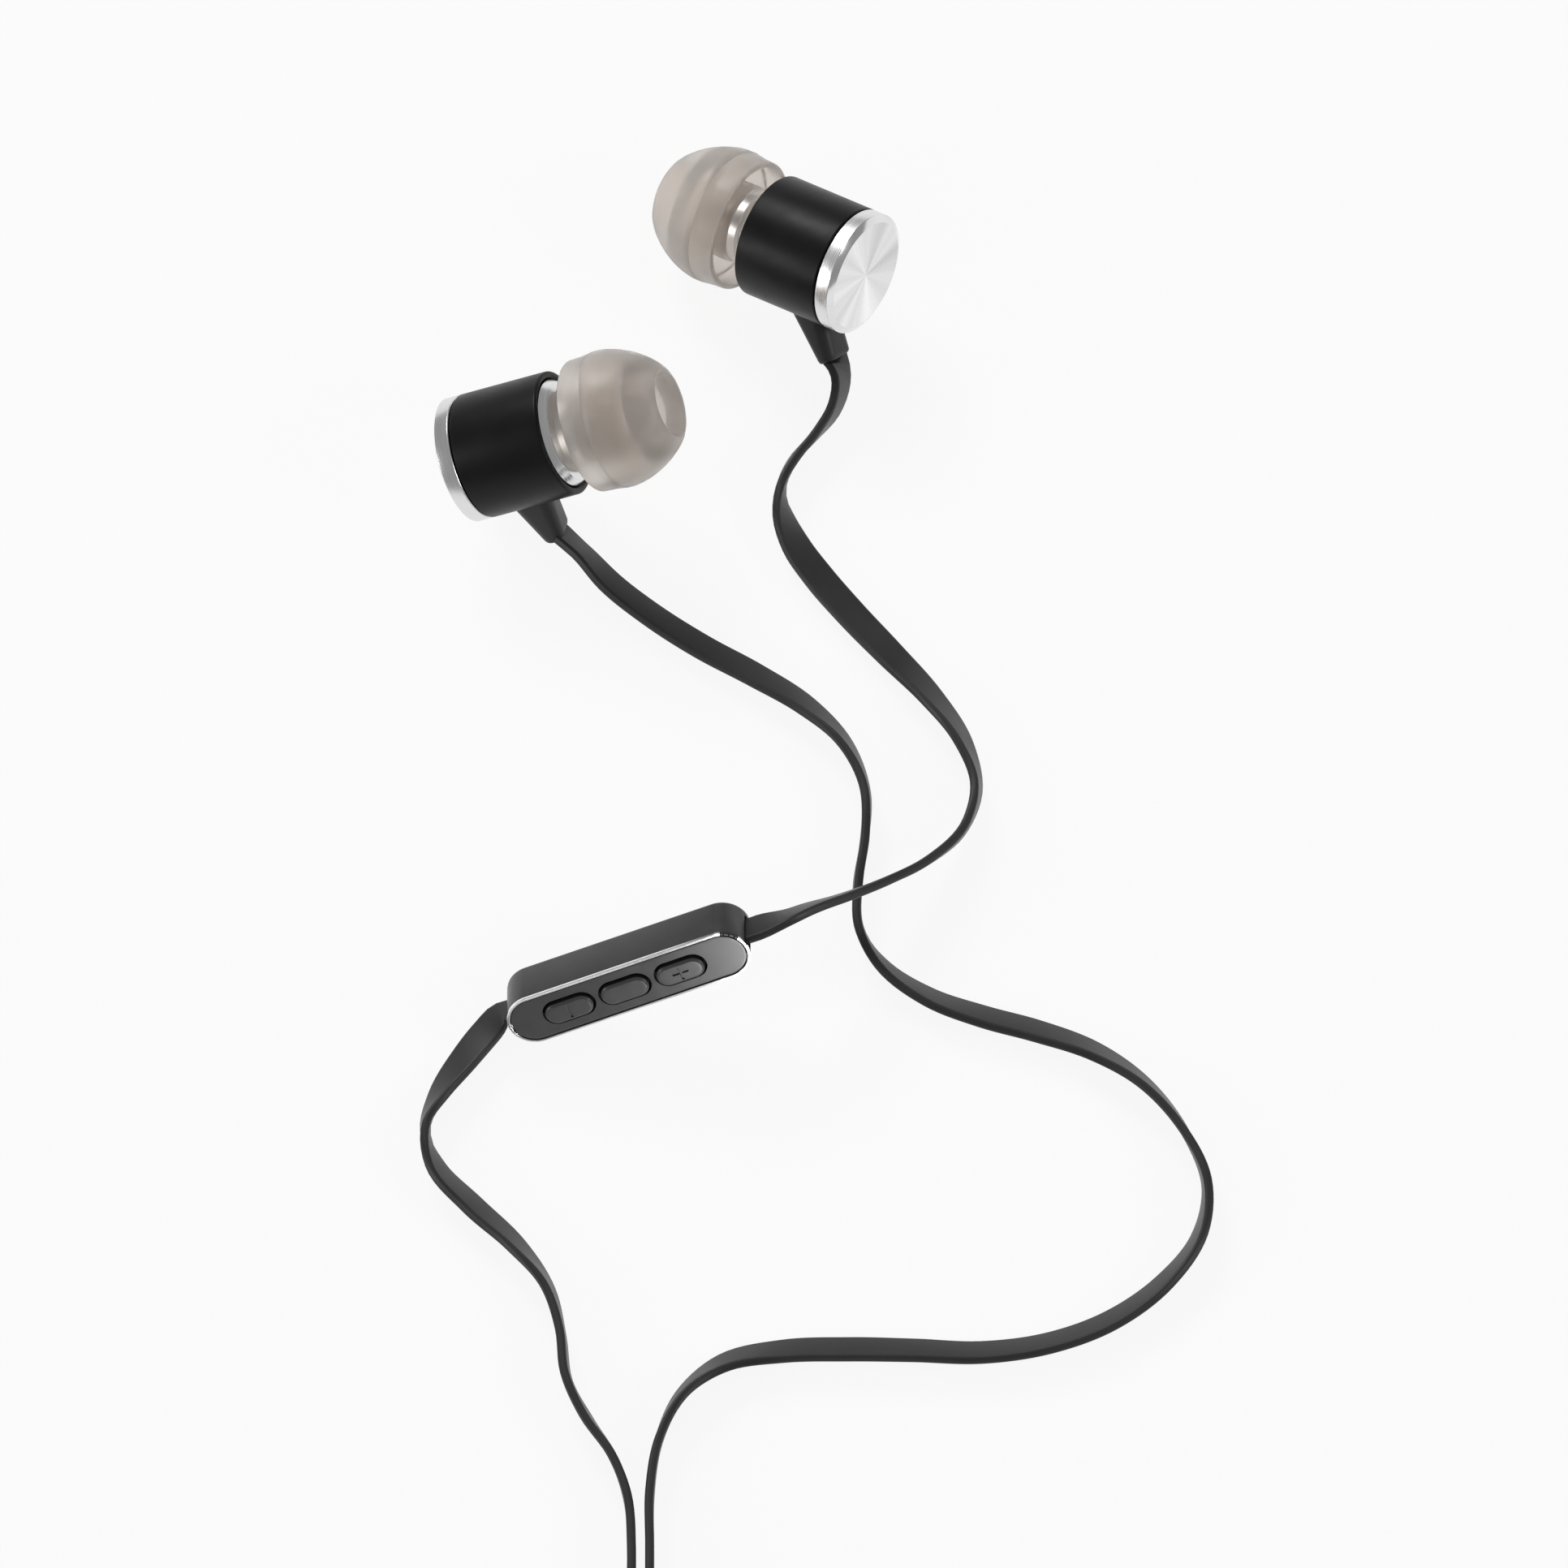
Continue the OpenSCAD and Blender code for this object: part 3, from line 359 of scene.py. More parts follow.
def smooth_route(points, first, last, step=0.7):
    """Points along a smooth line through a route, leaving and arriving in set directions."""
    spots = [Vector(p) for p in points]
    knots = [0.0]
    for a, b in zip(spots, spots[1:]):
        knots.append(knots[-1] + (b.xyz - a.xyz).length)
    slopes = []
    for i, here in enumerate(spots):
        if i == 0 or i == len(spots) - 1:
            j = 1 if i == 0 else i
            turn_rate = (spots[j].w - spots[j - 1].w) / (knots[j] - knots[j - 1])
            way = first if i == 0 else last
            slopes.append(Vector((*way, turn_rate)))
            continue
        h0, h1 = knots[i] - knots[i - 1], knots[i + 1] - knots[i]
        slopes.append(((here - spots[i - 1]) * (h1 / h0) + (spots[i + 1] - here) * (h0 / h1))
                      / (h0 + h1))
    out = []
    for i in range(len(spots) - 1):
        h = knots[i + 1] - knots[i]
        count = max(2, round(h / step))
        for k in range(count):
            t = k / count
            a, b = spots[i], spots[i + 1]
            out.append(a * (2 * t ** 3 - 3 * t * t + 1) + slopes[i] * h * (t ** 3 - 2 * t * t + t)
                       + b * (3 * t * t - 2 * t ** 3) + slopes[i + 1] * h * (t ** 3 - t * t))
    out.append(spots[-1])
    return out


def wound_route():
    """The wound turns: inwards, up one layer while the way reverses, and outwards."""
    middle = COIL_TURNS / 2
    steps = round(COIL_TURNS * POINTS_PER_TURN)
    out = []
    for k in range(steps + 1):
        u = COIL_TURNS * k / steps
        r = COIL_RADIUS - COIL_PITCH * (middle - abs(u - middle))
        s = min(1, max(0, (u - (COIL_TURNS - COIL_CLIMB) / 2) / COIL_CLIMB))
        a = math.radians(180 + 360 * u)
        out.append(Vector((COIL_AT[0] + r * math.cos(a), COIL_AT[1] + r * math.sin(a),
                           COIL_LOW + COIL_LAYER * s * s * (3 - 2 * s), 90)))
    return out


def ribbon(name, route, first, last):
    """A flat cord with round edges, swept along a route and kept off the floor, and its middle."""
    half_w, half_t = sizes().cord_width / MM / 2, sizes().cord_thickness / MM / 2
    r, floor_gap = half_t * 0.72, 0.03
    section = rounded([(half_t, -half_w, r), (half_t, half_w, r), (-half_t, half_w, r),
                       (-half_t, -half_w, r)], closed=True, steps=5)
    rows = []
    for i, p in enumerate(route):
        if i == 0:
            way = Vector(first)
        elif i == len(route) - 1:
            way = Vector(last)
        else:
            way = route[i + 1].xyz - route[i - 1].xyz
        way.normalize()
        side = Vector((-way.y, way.x, 0)).normalized()
        up = way.cross(side)
        tilt = math.radians(p.w)
        reach = math.hypot(way.x, way.y) * (half_w * abs(math.sin(tilt))
                                            + half_t * abs(math.cos(tilt)))
        p.z = max(p.z, reach + floor_gap)
        across = side * math.cos(tilt) + up * math.sin(tilt)
        thick = way.cross(across)
        rows.append([p.xyz + ORIGIN + thick * x + across * y for x, y in section])
    obj = piece(name, rows, Matrix(), "set", sharp=50)
    return obj, [(p.xyz + ORIGIN) * MM for p in route]


def relief_line(side):
    """Where a strain relief ends, the way the cord leaves it, and the cord's tilt."""
    bend = math.radians(EARS[side][4])
    way = Vector((math.cos(bend), 0, -math.sin(bend)))
    place = ear_place(side)
    end = (place @ ((Vector(RELIEF_ROOT) + way * RELIEF_REACH) * MM)) / MM - ORIGIN
    way = place.to_3x3() @ way
    return end + way * 0.02, way, tilt_of(way, place.to_3x3() @ Vector((0, 1, 0)))


def tilt_of(way, across):
    """Tilt of a ribbon whose width lies across, from 0 to 180."""
    side = Vector((-way.y, way.x, 0)).normalized()
    up = way.cross(side)
    return math.degrees(math.atan2(across.dot(up), across.dot(side))) % 180


def light_up(*objs):
    """Lets the small front lamp reach these pieces, and no others."""
    lit = bpy.data.collections.get(FRONT_LIT)
    for obj in objs if lit else ():
        lit.objects.link(obj)


# ---- Finishes ----


def finish(name, colour, roughness, metallic=0.0, **sockets):
    """A material with its plain values on the shader's own sockets."""
    made = bpy.data.materials.get(name)
    if made:
        return made, None
    mat = bpy.data.materials.new(name)
    mat.use_nodes = True
    shader = mat.node_tree.nodes["Principled BSDF"]
    shader.inputs["Base Color"].default_value = (*colour, 1)
    shader.inputs["Roughness"].default_value = roughness
    shader.inputs["Metallic"].default_value = metallic
    for socket, value in sockets.items():
        shader.inputs[socket.replace("_", " ")].default_value = value
    mat.diffuse_color = (*colour, 1)
    return mat, shader


def node(mat, kind, links=(), **settings):
    """A new node in a material, with its inputs linked or set."""
    made = mat.node_tree.nodes.new("ShaderNode" + kind)
    for key, value in settings.items():
        setattr(made, key, value)
    for socket, value in links:
        if isinstance(value, bpy.types.NodeSocket):
            mat.node_tree.links.new(value, made.inputs[socket])
        else:
            made.inputs[socket].default_value = value
    return made


def own_place(mat):
    """The piece's own coordinates, in metres."""
    return node(mat, "TexCoord").outputs["Object"]


def specks(mat, scale, detail=2.0, stretch=(1, 1, 1)):
    """A fine noise over the surface, with scale in spots per metre."""
    spread = node(mat, "Mapping", [("Vector", own_place(mat)), ("Scale", stretch)])
    return node(mat, "TexNoise", [("Vector", spread.outputs[0]), ("Scale", scale),
                                  ("Detail", detail)]).outputs["Fac"]


def relief(mat, shader, heights, depth):
    """Small bumps from a pattern, with the depth in metres."""
    bump = node(mat, "Bump", [("Height", heights), ("Distance", depth), ("Strength", 1.0)])
    mat.node_tree.links.new(bump.outputs[0], shader.inputs["Normal"])


def spread_values(mat, shader, socket, pattern, low, high):
    """Runs a plain value from low to high with a pattern."""
    run = node(mat, "MapRange", [("Value", pattern), ("From Min", 0.3), ("From Max", 0.7),
                                 ("To Min", low), ("To Max", high)])
    mat.node_tree.links.new(run.outputs[0], shader.inputs[socket])


def spread_colour(mat, shader, pattern, low, high):
    """Runs the colour between two tints with a pattern."""
    tint = node(mat, "ValToRGB", [("Fac", pattern)])
    ends = tint.color_ramp.elements
    ends[0].position, ends[1].position = 0.3, 0.7
    ends[0].color, ends[1].color = (*low, 1), (*high, 1)
    mat.node_tree.links.new(tint.outputs[0], shader.inputs["Base Color"])


def shade(colour, by):
    """A colour made darker or paler."""
    return tuple(min(1, c * by) for c in colour)


def moulded_rubber(name, colour, roughness=0.42):
    """Matte rubber with a fine grain and faint smears."""
    mat, shader = finish(name, colour, roughness, Specular_IOR_Level=0.38)
    if shader:
        cloud = specks(mat, 180, detail=3)
        spread_colour(mat, shader, cloud, shade(colour, 0.86), shade(colour, 1.16))
        spread_values(mat, shader, "Roughness", cloud, roughness - 0.06, roughness + 0.06)
        relief(mat, shader, specks(mat, 9000), 0.000006)
    return mat


def satin_anodised(name, colour):
    """Satin anodised metal with a fine blasted grain."""
    mat, shader = finish(name, colour, 0.4, Specular_IOR_Level=0.22)
    if shader:
        spread_colour(mat, shader, specks(mat, 260), shade(colour, 0.85), shade(colour, 1.2))
        spread_values(mat, shader, "Roughness", specks(mat, 500), 0.37, 0.44)
        relief(mat, shader, specks(mat, 16000), 0.000002)
    return mat


def turned_metal(name, colour, roughness=0.24, stretch=0.7):
    """Aluminium from the lathe: fine rings about the axis that spread its highlights."""
    mat, shader = finish(name, colour, roughness, 1.0, Anisotropic=stretch)
    if shader:
        split = node(mat, "SeparateXYZ", [("Vector", own_place(mat))])
        square = node(mat, "VectorMath", [(0, own_place(mat)), (1, (1, 1, 0))],
                      operation="MULTIPLY")
        radius = node(mat, "VectorMath", [(0, square.outputs[0])], operation="LENGTH")
        along = node(mat, "Math", [(0, radius.outputs["Value"]), (1, split.outputs["Z"])],
                     operation="ADD")
        lines = node(mat, "Math", [(0, along.outputs[0]), (1, 16000)], operation="MULTIPLY")
        rings = node(mat, "TexNoise", [("W", lines.outputs[0]), ("Scale", 1.0), ("Detail", 2.0)],
                     noise_dimensions="1D").outputs["Fac"]
        spread_values(mat, shader, "Roughness", rings, roughness - 0.07, roughness + 0.07)
        spread_colour(mat, shader, rings, shade(colour, 0.93), shade(colour, 1.04))
        relief(mat, shader, rings, 0.0000012)
        tangent = node(mat, "Tangent", direction_type="RADIAL", axis="Z")
        mat.node_tree.links.new(tangent.outputs[0], shader.inputs["Tangent"])
    return mat


def spun_face(name, colour):
    """The cap's face: fine rays that run out from its middle as grain, and broad light and dark
    sectors painted into its colour as highlights and reflections.
    """
    mat, shader = finish(name, colour, 0.26, 1.0)
    if shader:
        flat = node(mat, "VectorMath", [(0, own_place(mat)), (1, (1, 1, 0))],
                    operation="MULTIPLY")
        heading = node(mat, "VectorMath", [(0, flat.outputs[0])], operation="NORMALIZE")
        # Broad sectors of painted highlight and painted reflection in the metal's colour, mixed
        # with the fine rays' grain
        painted_highlight_fans = node(mat, "TexNoise", [("Vector", heading.outputs[0]), ("Scale", 1.4),
                                      ("Detail", 1.0)]).outputs["Fac"]
        rays = node(mat, "TexNoise", [("Vector", heading.outputs[0]), ("Scale", 60.0),
                                      ("Detail", 2.0)]).outputs["Fac"]
        both = node(mat, "Mix", [(0, 0.3), (2, painted_highlight_fans), (3, rays)], data_type="FLOAT")
        spread_colour(mat, shader, both.outputs[0], shade(colour, 0.72), shade(colour, 1.3))
        spread_values(mat, shader, "Roughness", rays, 0.2, 0.34)
        relief(mat, shader, rays, 0.000001)
    return mat


def smoky_silicone(name, colour):
    """Frosted, see-through silicone with a soft skin."""
    mat, shader = finish(name, colour, 0.36, Transmission_Weight=0.8, IOR=1.41,
                         Subsurface_Weight=0.4, Subsurface_Scale=0.002,
                         Subsurface_Radius=(1.0, 0.9, 0.8))
    if shader:
        spread_values(mat, shader, "Roughness", specks(mat, 300), 0.32, 0.44)
        relief(mat, shader, specks(mat, 2500), 0.000004)
    return mat


def moulded_plastic(name, colour, roughness=0.42):
    """Moulded plastic with a fine spark-eroded texture."""
    mat, shader = finish(name, colour, roughness, Specular_IOR_Level=0.5)
    if shader:
        spread_colour(mat, shader, specks(mat, 200), shade(colour, 0.92), shade(colour, 1.1))
        spread_values(mat, shader, "Roughness", specks(mat, 700), roughness - 0.05,
                      roughness + 0.05)
        relief(mat, shader, specks(mat, 12000), 0.000003)
    return mat


def polished_metal(name, colour, roughness=0.09):
    """Plated metal with a faint haze and hairlines."""
    mat, shader = finish(name, colour, roughness, 1.0)
    if shader:
        hairs = specks(mat, 4000, stretch=(1, 8, 8))
        spread_values(mat, shader, "Roughness", hairs, roughness - 0.03, roughness + 0.06)
        spread_colour(mat, shader, specks(mat, 350), shade(colour, 0.94), shade(colour, 1.03))
    return mat


def woven_wire(name):
    """Fine steel mesh: crossing wires with dark openings between."""
    mat, shader = finish(name, (0.35, 0.35, 0.36), 0.35, 1.0)
    if shader:
        across = node(mat, "TexWave", [("Vector", own_place(mat)), ("Scale", 1500)],
                      bands_direction="X")
        along = node(mat, "TexWave", [("Vector", own_place(mat)), ("Scale", 1500)],
                     bands_direction="Z")
        wires = node(mat, "Math", [(0, across.outputs["Fac"]), (1, along.outputs["Fac"])],
                     operation="MAXIMUM").outputs[0]
        spread_colour(mat, shader, wires, (0.01, 0.01, 0.01), (0.5, 0.5, 0.52))
        relief(mat, shader, wires, 0.00003)
    return mat


def woven_strap(name):
    """Black brushed loop fabric of the cord tie."""
    mat, shader = finish(name, (0.012, 0.012, 0.013), 0.9, Sheen_Weight=0.35,
                         Sheen_Roughness=0.5)
    if shader:
        loops = node(mat, "TexVoronoi", [("Vector", own_place(mat)), ("Scale", 2600)])
        spread_colour(mat, shader, loops.outputs["Distance"], (0.03, 0.03, 0.032),
                      (0.006, 0.006, 0.006))
        relief(mat, shader, loops.outputs["Distance"], 0.0001)
    return mat


def lacquered_board(name):
    """Green lacquered circuit board with tracks under the lacquer."""
    mat, shader = finish(name, (0.02, 0.16, 0.06), 0.3)
    if shader:
        tracks = node(mat, "TexBrick", [("Vector", own_place(mat)), ("Scale", 700)]).outputs["Fac"]
        spread_colour(mat, shader, tracks, (0.015, 0.13, 0.05), (0.05, 0.28, 0.11))
        relief(mat, shader, tracks, 0.00001)
    return mat


def varnished_film(name):
    """Amber diaphragm film with pressed ripples."""
    mat, shader = finish(name, (0.55, 0.32, 0.12), 0.25, Coat_Weight=0.4)
    if shader:
        ripples = specks(mat, 2500)
        spread_colour(mat, shader, ripples, (0.45, 0.25, 0.08), (0.65, 0.4, 0.16))
        relief(mat, shader, ripples, 0.00001)
    return mat


def dress(objs, mat):
    """Gives a finish to pieces or CAD nodes."""
    for obj in objs:
        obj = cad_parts[obj] if isinstance(obj, str) else obj
        obj.data.materials.clear()
        obj.data.materials.append(mat)


def stand_for(obj, mat, *nodes, slot=None):
    """Finishes a piece and lets it stand for CAD nodes."""
    dress([obj], mat)
    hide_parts(*nodes)
    return obj


class EARPHONES_OT_stage(bpy.types.Operator):
    """Set up the pale floor, the soft studio light and the camera"""

    bl_idname = "earphones.stage"
    bl_label = "Stage"

    def execute(self, context):
        scene = context.scene
        scene.view_settings.view_transform = "Standard"
        camera = bpy.data.cameras.new("camera")
        camera.sensor_width = SENSOR
        camera.lens = SENSOR * VIEW_DISTANCE / VIEW_WIDTH
        camera.clip_end = 20
        eye = bpy.data.objects.new("camera", camera)
        scene.collection.objects.link(eye)
        target = Vector(VIEW_AT) * MM
        lean = math.radians(VIEW_LEAN)
        back = Vector((0, -math.cos(lean), math.sin(lean)))
        eye.location = target + back * (VIEW_DISTANCE * MM)
        eye.rotation_euler = (math.pi / 2 - lean, 0, 0)
        scene.camera = eye

        floor, shader = finish("pale_floor", tuple(colours().floor), 0.9)
        cloud = specks(floor, 12)
        spread_colour(floor, shader, cloud, (0.89, 0.89, 0.89), (0.91, 0.91, 0.91))
        glow = node(floor, "Emission", [("Color", (1, 1, 1, 1)), ("Strength", 1.0)])
        path = node(floor, "LightPath")
        seen = node(floor, "Math", [(0, path.outputs["Is Camera Ray"]),
                                    (1, path.outputs["Is Glossy Ray"])], operation="MAXIMUM")
        seen = node(floor, "Math", [(0, seen.outputs[0]),
                                    (1, path.outputs["Is Transmission Ray"])],
                    operation="MAXIMUM")
        share = node(floor, "Math", [(0, seen.outputs[0]), (1, 0.9)], operation="MULTIPLY")
        mixed = node(floor, "MixShader", [(0, share.outputs[0]), (1, shader.outputs[0]),
                                          (2, glow.outputs[0])])
        out = floor.node_tree.nodes["Material Output"]
        floor.node_tree.links.new(mixed.outputs[0], out.inputs["Surface"])
        half, sunk = 3000, -0.05
        plane = piece("floor", [[(-half, -half, sunk), (half, -half, sunk)],
                                [(-half, half, sunk), (half, half, sunk)]],
                      Matrix(), None, loop_columns=False, caps=False)
        dress([plane], floor)

        world = bpy.data.worlds.new("studio")
        world.use_nodes = True
        scene.world = world
        room = world.node_tree.nodes["Background"]
        room.inputs["Color"].default_value = (1, 1, 1, 1)
        path = node(world, "LightPath")
        level = node(world, "MapRange", [("Value", path.outputs["Is Camera Ray"]),
                                         ("To Min", 0.32), ("To Max", 1.0)])
        world.node_tree.links.new(level.outputs[0], room.inputs["Strength"])

        for name, at, size, power in (
                ("key", (-0.3, 0.65, 0.62), 0.35, 3.2),
                ("left", (-0.8, -0.25, 0.3), 0.3, 1.5),
                ("right", (0.75, -0.2, 0.45), 0.3, 1.5),
                ("front", (0.013, -0.078, 0.009), 0.012, 0.013)):
            lamp = bpy.data.lights.new(name, "AREA")
            lamp.shape = "DISK"
            lamp.size = size
            lamp.energy = power
            light = bpy.data.objects.new(name, lamp)
            light.location = at
            light.visible_camera = False
            light.rotation_euler = (target - Vector(at)).to_track_quat("-Z", "Y").to_euler()
            scene.collection.objects.link(light)
            if name == "front":
                lit = bpy.data.collections.new(FRONT_LIT)
                light.light_linking.receiver_collection = lit
        return {"FINISHED"}


class EARPHONES_OT_ribbon_cords(bpy.types.Operator):
    """Lay the flat cords of both arms"""

    bl_idname = "earphones.ribbon_cords"
    bl_label = "Ribbon cords"

    def execute(self, context):
        rubber = moulded_rubber("cord_rubber", tuple(colours().rubber))
        remote = remote_place()
        along = remote.to_3x3() @ Vector((1, 0, 0))
        tilt = tilt_of(-along, remote.to_3x3() @ Vector((0, 0, 1)))

        def in_remote(x):
            at = (remote @ Vector((x * MM, 0, 0))) / MM - ORIGIN
            return (*at, tilt)

        half = sizes().remote_length / MM / 2
        start, way, first_tilt = relief_line("right")
        route = [(*start, first_tilt), *RIGHT_UPPER, in_remote(half + 1),
                 in_remote(half + 0.02), in_remote(8.42)]
        self.lay("right_ribbon_upper", route, way, -along, rubber, "right_cord_upper",
                 "object", ())
        route = [in_remote(-8.42), in_remote(-half - 0.02), in_remote(-half - 0.7),
                 *RIGHT_LOWER]
        splitter = [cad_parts["splitter_joint"]]
        self.lay("right_ribbon_lower", route, -along, (0, -1, 0), rubber, "right_cord_lower",
                 "fitting", splitter)
        start, way, first_tilt = relief_line("left")
        route = [(*start, first_tilt), *LEFT]
        self.lay("left_ribbon", route, way, (0, -1, 0), rubber, "left_cord", "fitting", splitter)
        return {"FINISHED"}

    def lay(self, name, points, first, last, rubber, cad, far_end, others):
        route = smooth_route(points, first, last)
        obj, path = ribbon(name, route, first, last)
        stand_for(obj, rubber, cad, slot="rubber")


class EARPHONES_OT_main_cord(bpy.types.Operator):
    """Wind the main cord between the splitter and the plug, and tie it"""

    bl_idname = "earphones.main_cord"
    bl_label = "Main cord and tie"

    def execute(self, context):
        down, along = (0, -1, 0), (1, 0, 0)
        coil = wound_route()
        route = (smooth_route([*LEAD, tuple(coil[0])], down, down)[:-1] + coil[:-1]
                 + smooth_route([tuple(coil[-1]), *TAIL], along, along))
        cord, path = ribbon("main_ribbon", route, down, along)
        stand_for(cord, moulded_rubber("cord_rubber", tuple(colours().rubber)),
                  "main_cord_lead", "main_cord_coil", "main_cord_tail", slot="rubber")

        rows = []
        for (ax, az), (bx, bz) in zip(self.loop(12.21, 21.3, 0.8, 7.5, 0.3),
                                      self.loop(11.51, 22, 0.1, 8.2, 1)):
            a, b = Vector((ax, 0, az)), Vector((bx, 0, bz))
            out = b - a
            rows.append([a + Vector((0, y, 0)) + out * t for t, y in (
                (0, -2.4), (0.3, -2.5), (0.8, -2.45), (1, -2.25),
                (1, 2.25), (0.8, 2.45), (0.3, 2.5), (0, 2.4))])
        tie = piece("cord_strap", rows, shift(ORIGIN + Vector((*COIL_AT, 0))), "set",
                    sharp=60, loop_rows=True, caps=False)
        stand_for(tie, woven_strap("strap_loops"), "cord_tie")
        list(self.plug())
        return {"FINISHED"}

    def loop(self, left, right, low, high, corner):
        """One side of the tie's strap, across the coil."""
        return rounded([(left, low, corner), (right, low, corner), (right, high, corner),
                        (left, high, corner)], closed=True, steps=6)

    def plug(self):
        """The plug: boot, grip and contacts."""
        place = plug_place()
        r = sizes().plug_diameter / MM / 2
        boot_line = [(0, BOOT_FOOT + 0.02), (1.9, BOOT_FOOT + 0.02, 0.25)]
        for k in range(4):
            z = BOOT_FOOT + 1.6 + 1.7 * k
            out, low = 1.95 + 0.12 * k, 1.62 + 0.12 * k
            boot_line += [(out, z, 0.12), (low, z + 0.06, 0.08), (low, z + 0.5, 0.08),
                          (out + 0.04, z + 0.56, 0.12)]
        boot_line += [(2.5, -19.1), (2.5, -17), (0, -17)]
        boot = turned("plug_cord_guard", rounded(boot_line), place, "set")
        stand_for(boot, moulded_rubber("guard_rubber", tuple(colours().rubber)), "plug_boot")
        grip_line = [(2.55, -17.5), (2.55, -19), (2.85, -19, 0.2), (3.2, -18.6, 0.3)]
        for k in range(6):
            z = -17.2 + 0.7 * k
            grip_line += [(3.2, z, 0.05), (3.08, z + 0.12, 0.05), (3.2, z + 0.24, 0.05)]
        grip_line += [(3.2, -0.45, 0.3), (2.75, 0, 0.15), (1.15, 0), (1.15, -1.5), (0, -1.5)]
        grip = turned("plug_barrel", rounded(grip_line), place, "set")
        stand_for(grip, satin_anodised("barrel_anodised", tuple(colours().sleeve)), "plug_grip")
        gold = polished_metal("gold_plate", (0.87, 0.68, 0.38), 0.14)
        sleeve = turned("plug_ground", rounded(
            [(1.15, 0.02), (r, 0.02, 0.05), (r, 5.3, 0.05), (1.15, 5.3)], closed=True),
            place, "set", closed=True)
        stand_for(sleeve, gold, "plug_sleeve_contact")
        tip_z = 11.1
        tip = turned("plug_tip", rounded(
            [(0, tip_z + 1), (1.15, tip_z + 1), (1.15, tip_z), (r, tip_z, 0.05),
             (r, tip_z + 0.3, 0.2), (1.2, tip_z + 1.15, 0.3), (1.7, tip_z + 1.9, 0.35),
             (0.7, 14, 0.3), (0, 14)]), place, "set")
        stand_for(tip, gold, "plug_tip_contact")
        dress(["plug_ring_contacts"], gold)
        dress(["plug_insulator"], moulded_plastic("contact_insulator", (0.01, 0.01, 0.01), 0.35))
        return [boot, grip, sleeve, tip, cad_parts["plug_ring_contacts"],
                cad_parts["plug_insulator"]]


class EARPHONES_OT_housings(bpy.types.Operator):
    """Turn the rear caps, sleeves and nozzles of both earpieces"""

    bl_idname = "earphones.housings"
    bl_label = "Earpiece housings"

    def execute(self, context):
        r = sizes().sleeve_diameter / MM / 2
        metal, black = tuple(colours().metal), tuple(colours().sleeve)
        for side in EARS:
            place = ear_place(side)
            cap = turned(f"{side}_turned_cap", rounded([
                (0, -1.8), (r - 0.65, -1.8, 0.05), (r, -1.45, 0.06), (r, -0.2, 0.1),
                (r - 0.12, -0.1), (r - 0.3, -0.06), (4.85, -0.06), (4.85, 0.6), (4.25, 0.6),
                (4.25, 0), (0, 0)]), place, "set")
            stand_for(cap, turned_metal("turned_aluminium", metal), f"{side}_rear_cap",
                      slot="bright_metal")
            # The face's colour carries painted highlights and painted reflection in broad sectors,
            # with real fine rays
            cap.data.materials.append(spun_face("spun_aluminium_painted_highlights", metal))
            cap.data.materials.append(polished_metal("polished_bevel", metal, 0.12))
            flat_z, bevel_z = -1.79 * MM, -1.46 * MM
            for face in cap.data.polygons:
                if face.center.z < flat_z:
                    face.material_index = 1
                elif face.center.z < bevel_z:
                    face.material_index = 2
            tube = turned(f"{side}_satin_sleeve", rounded([
                (4.9, 0.02), (r - 0.08, 0.02, 0.05), (r, 0.1, 0.08), (r, 8.5, 0.28),
                (r - 0.45, 8.5, 0.15), (4.95, 8.3), (4.9, 8.2)], closed=True),
                place, "set", closed=True)
            stand_for(tube, satin_anodised("sleeve_anodised", black),
                      f"{side}_housing_sleeve", slot="black_metal")
            nozzle = turned(f"{side}_turned_nozzle", rounded([
                (4.25, 7.02), (4.85, 7.02), (4.85, 8.42, 0.05), (4.7, 8.65, 0.1),
                (4.45, 9.1, 0.3), (4.05, 9.5, 0.3), (3.6, 9.85, 0.3), (3.4, 10.1, 0.2),
                (3.4, 10.9, 0.06), (2.15, 10.9, 0.1), (2.15, 13.7, 0.1), (2.35, 13.9, 0.05),
                (2.35, 14.5, 0.08), (2.05, 14.8, 0.05), (1.95, 14.8), (1.95, 14.6),
                (1.5, 14.6), (1.5, 10.1), (4.25, 8.5)], closed=True), place, "set", closed=True)
            stand_for(nozzle, turned_metal("nozzle_aluminium", metal, 0.2, 0.6),
                      f"{side}_front_nozzle", slot="bright_metal")
        return {"FINISHED"}


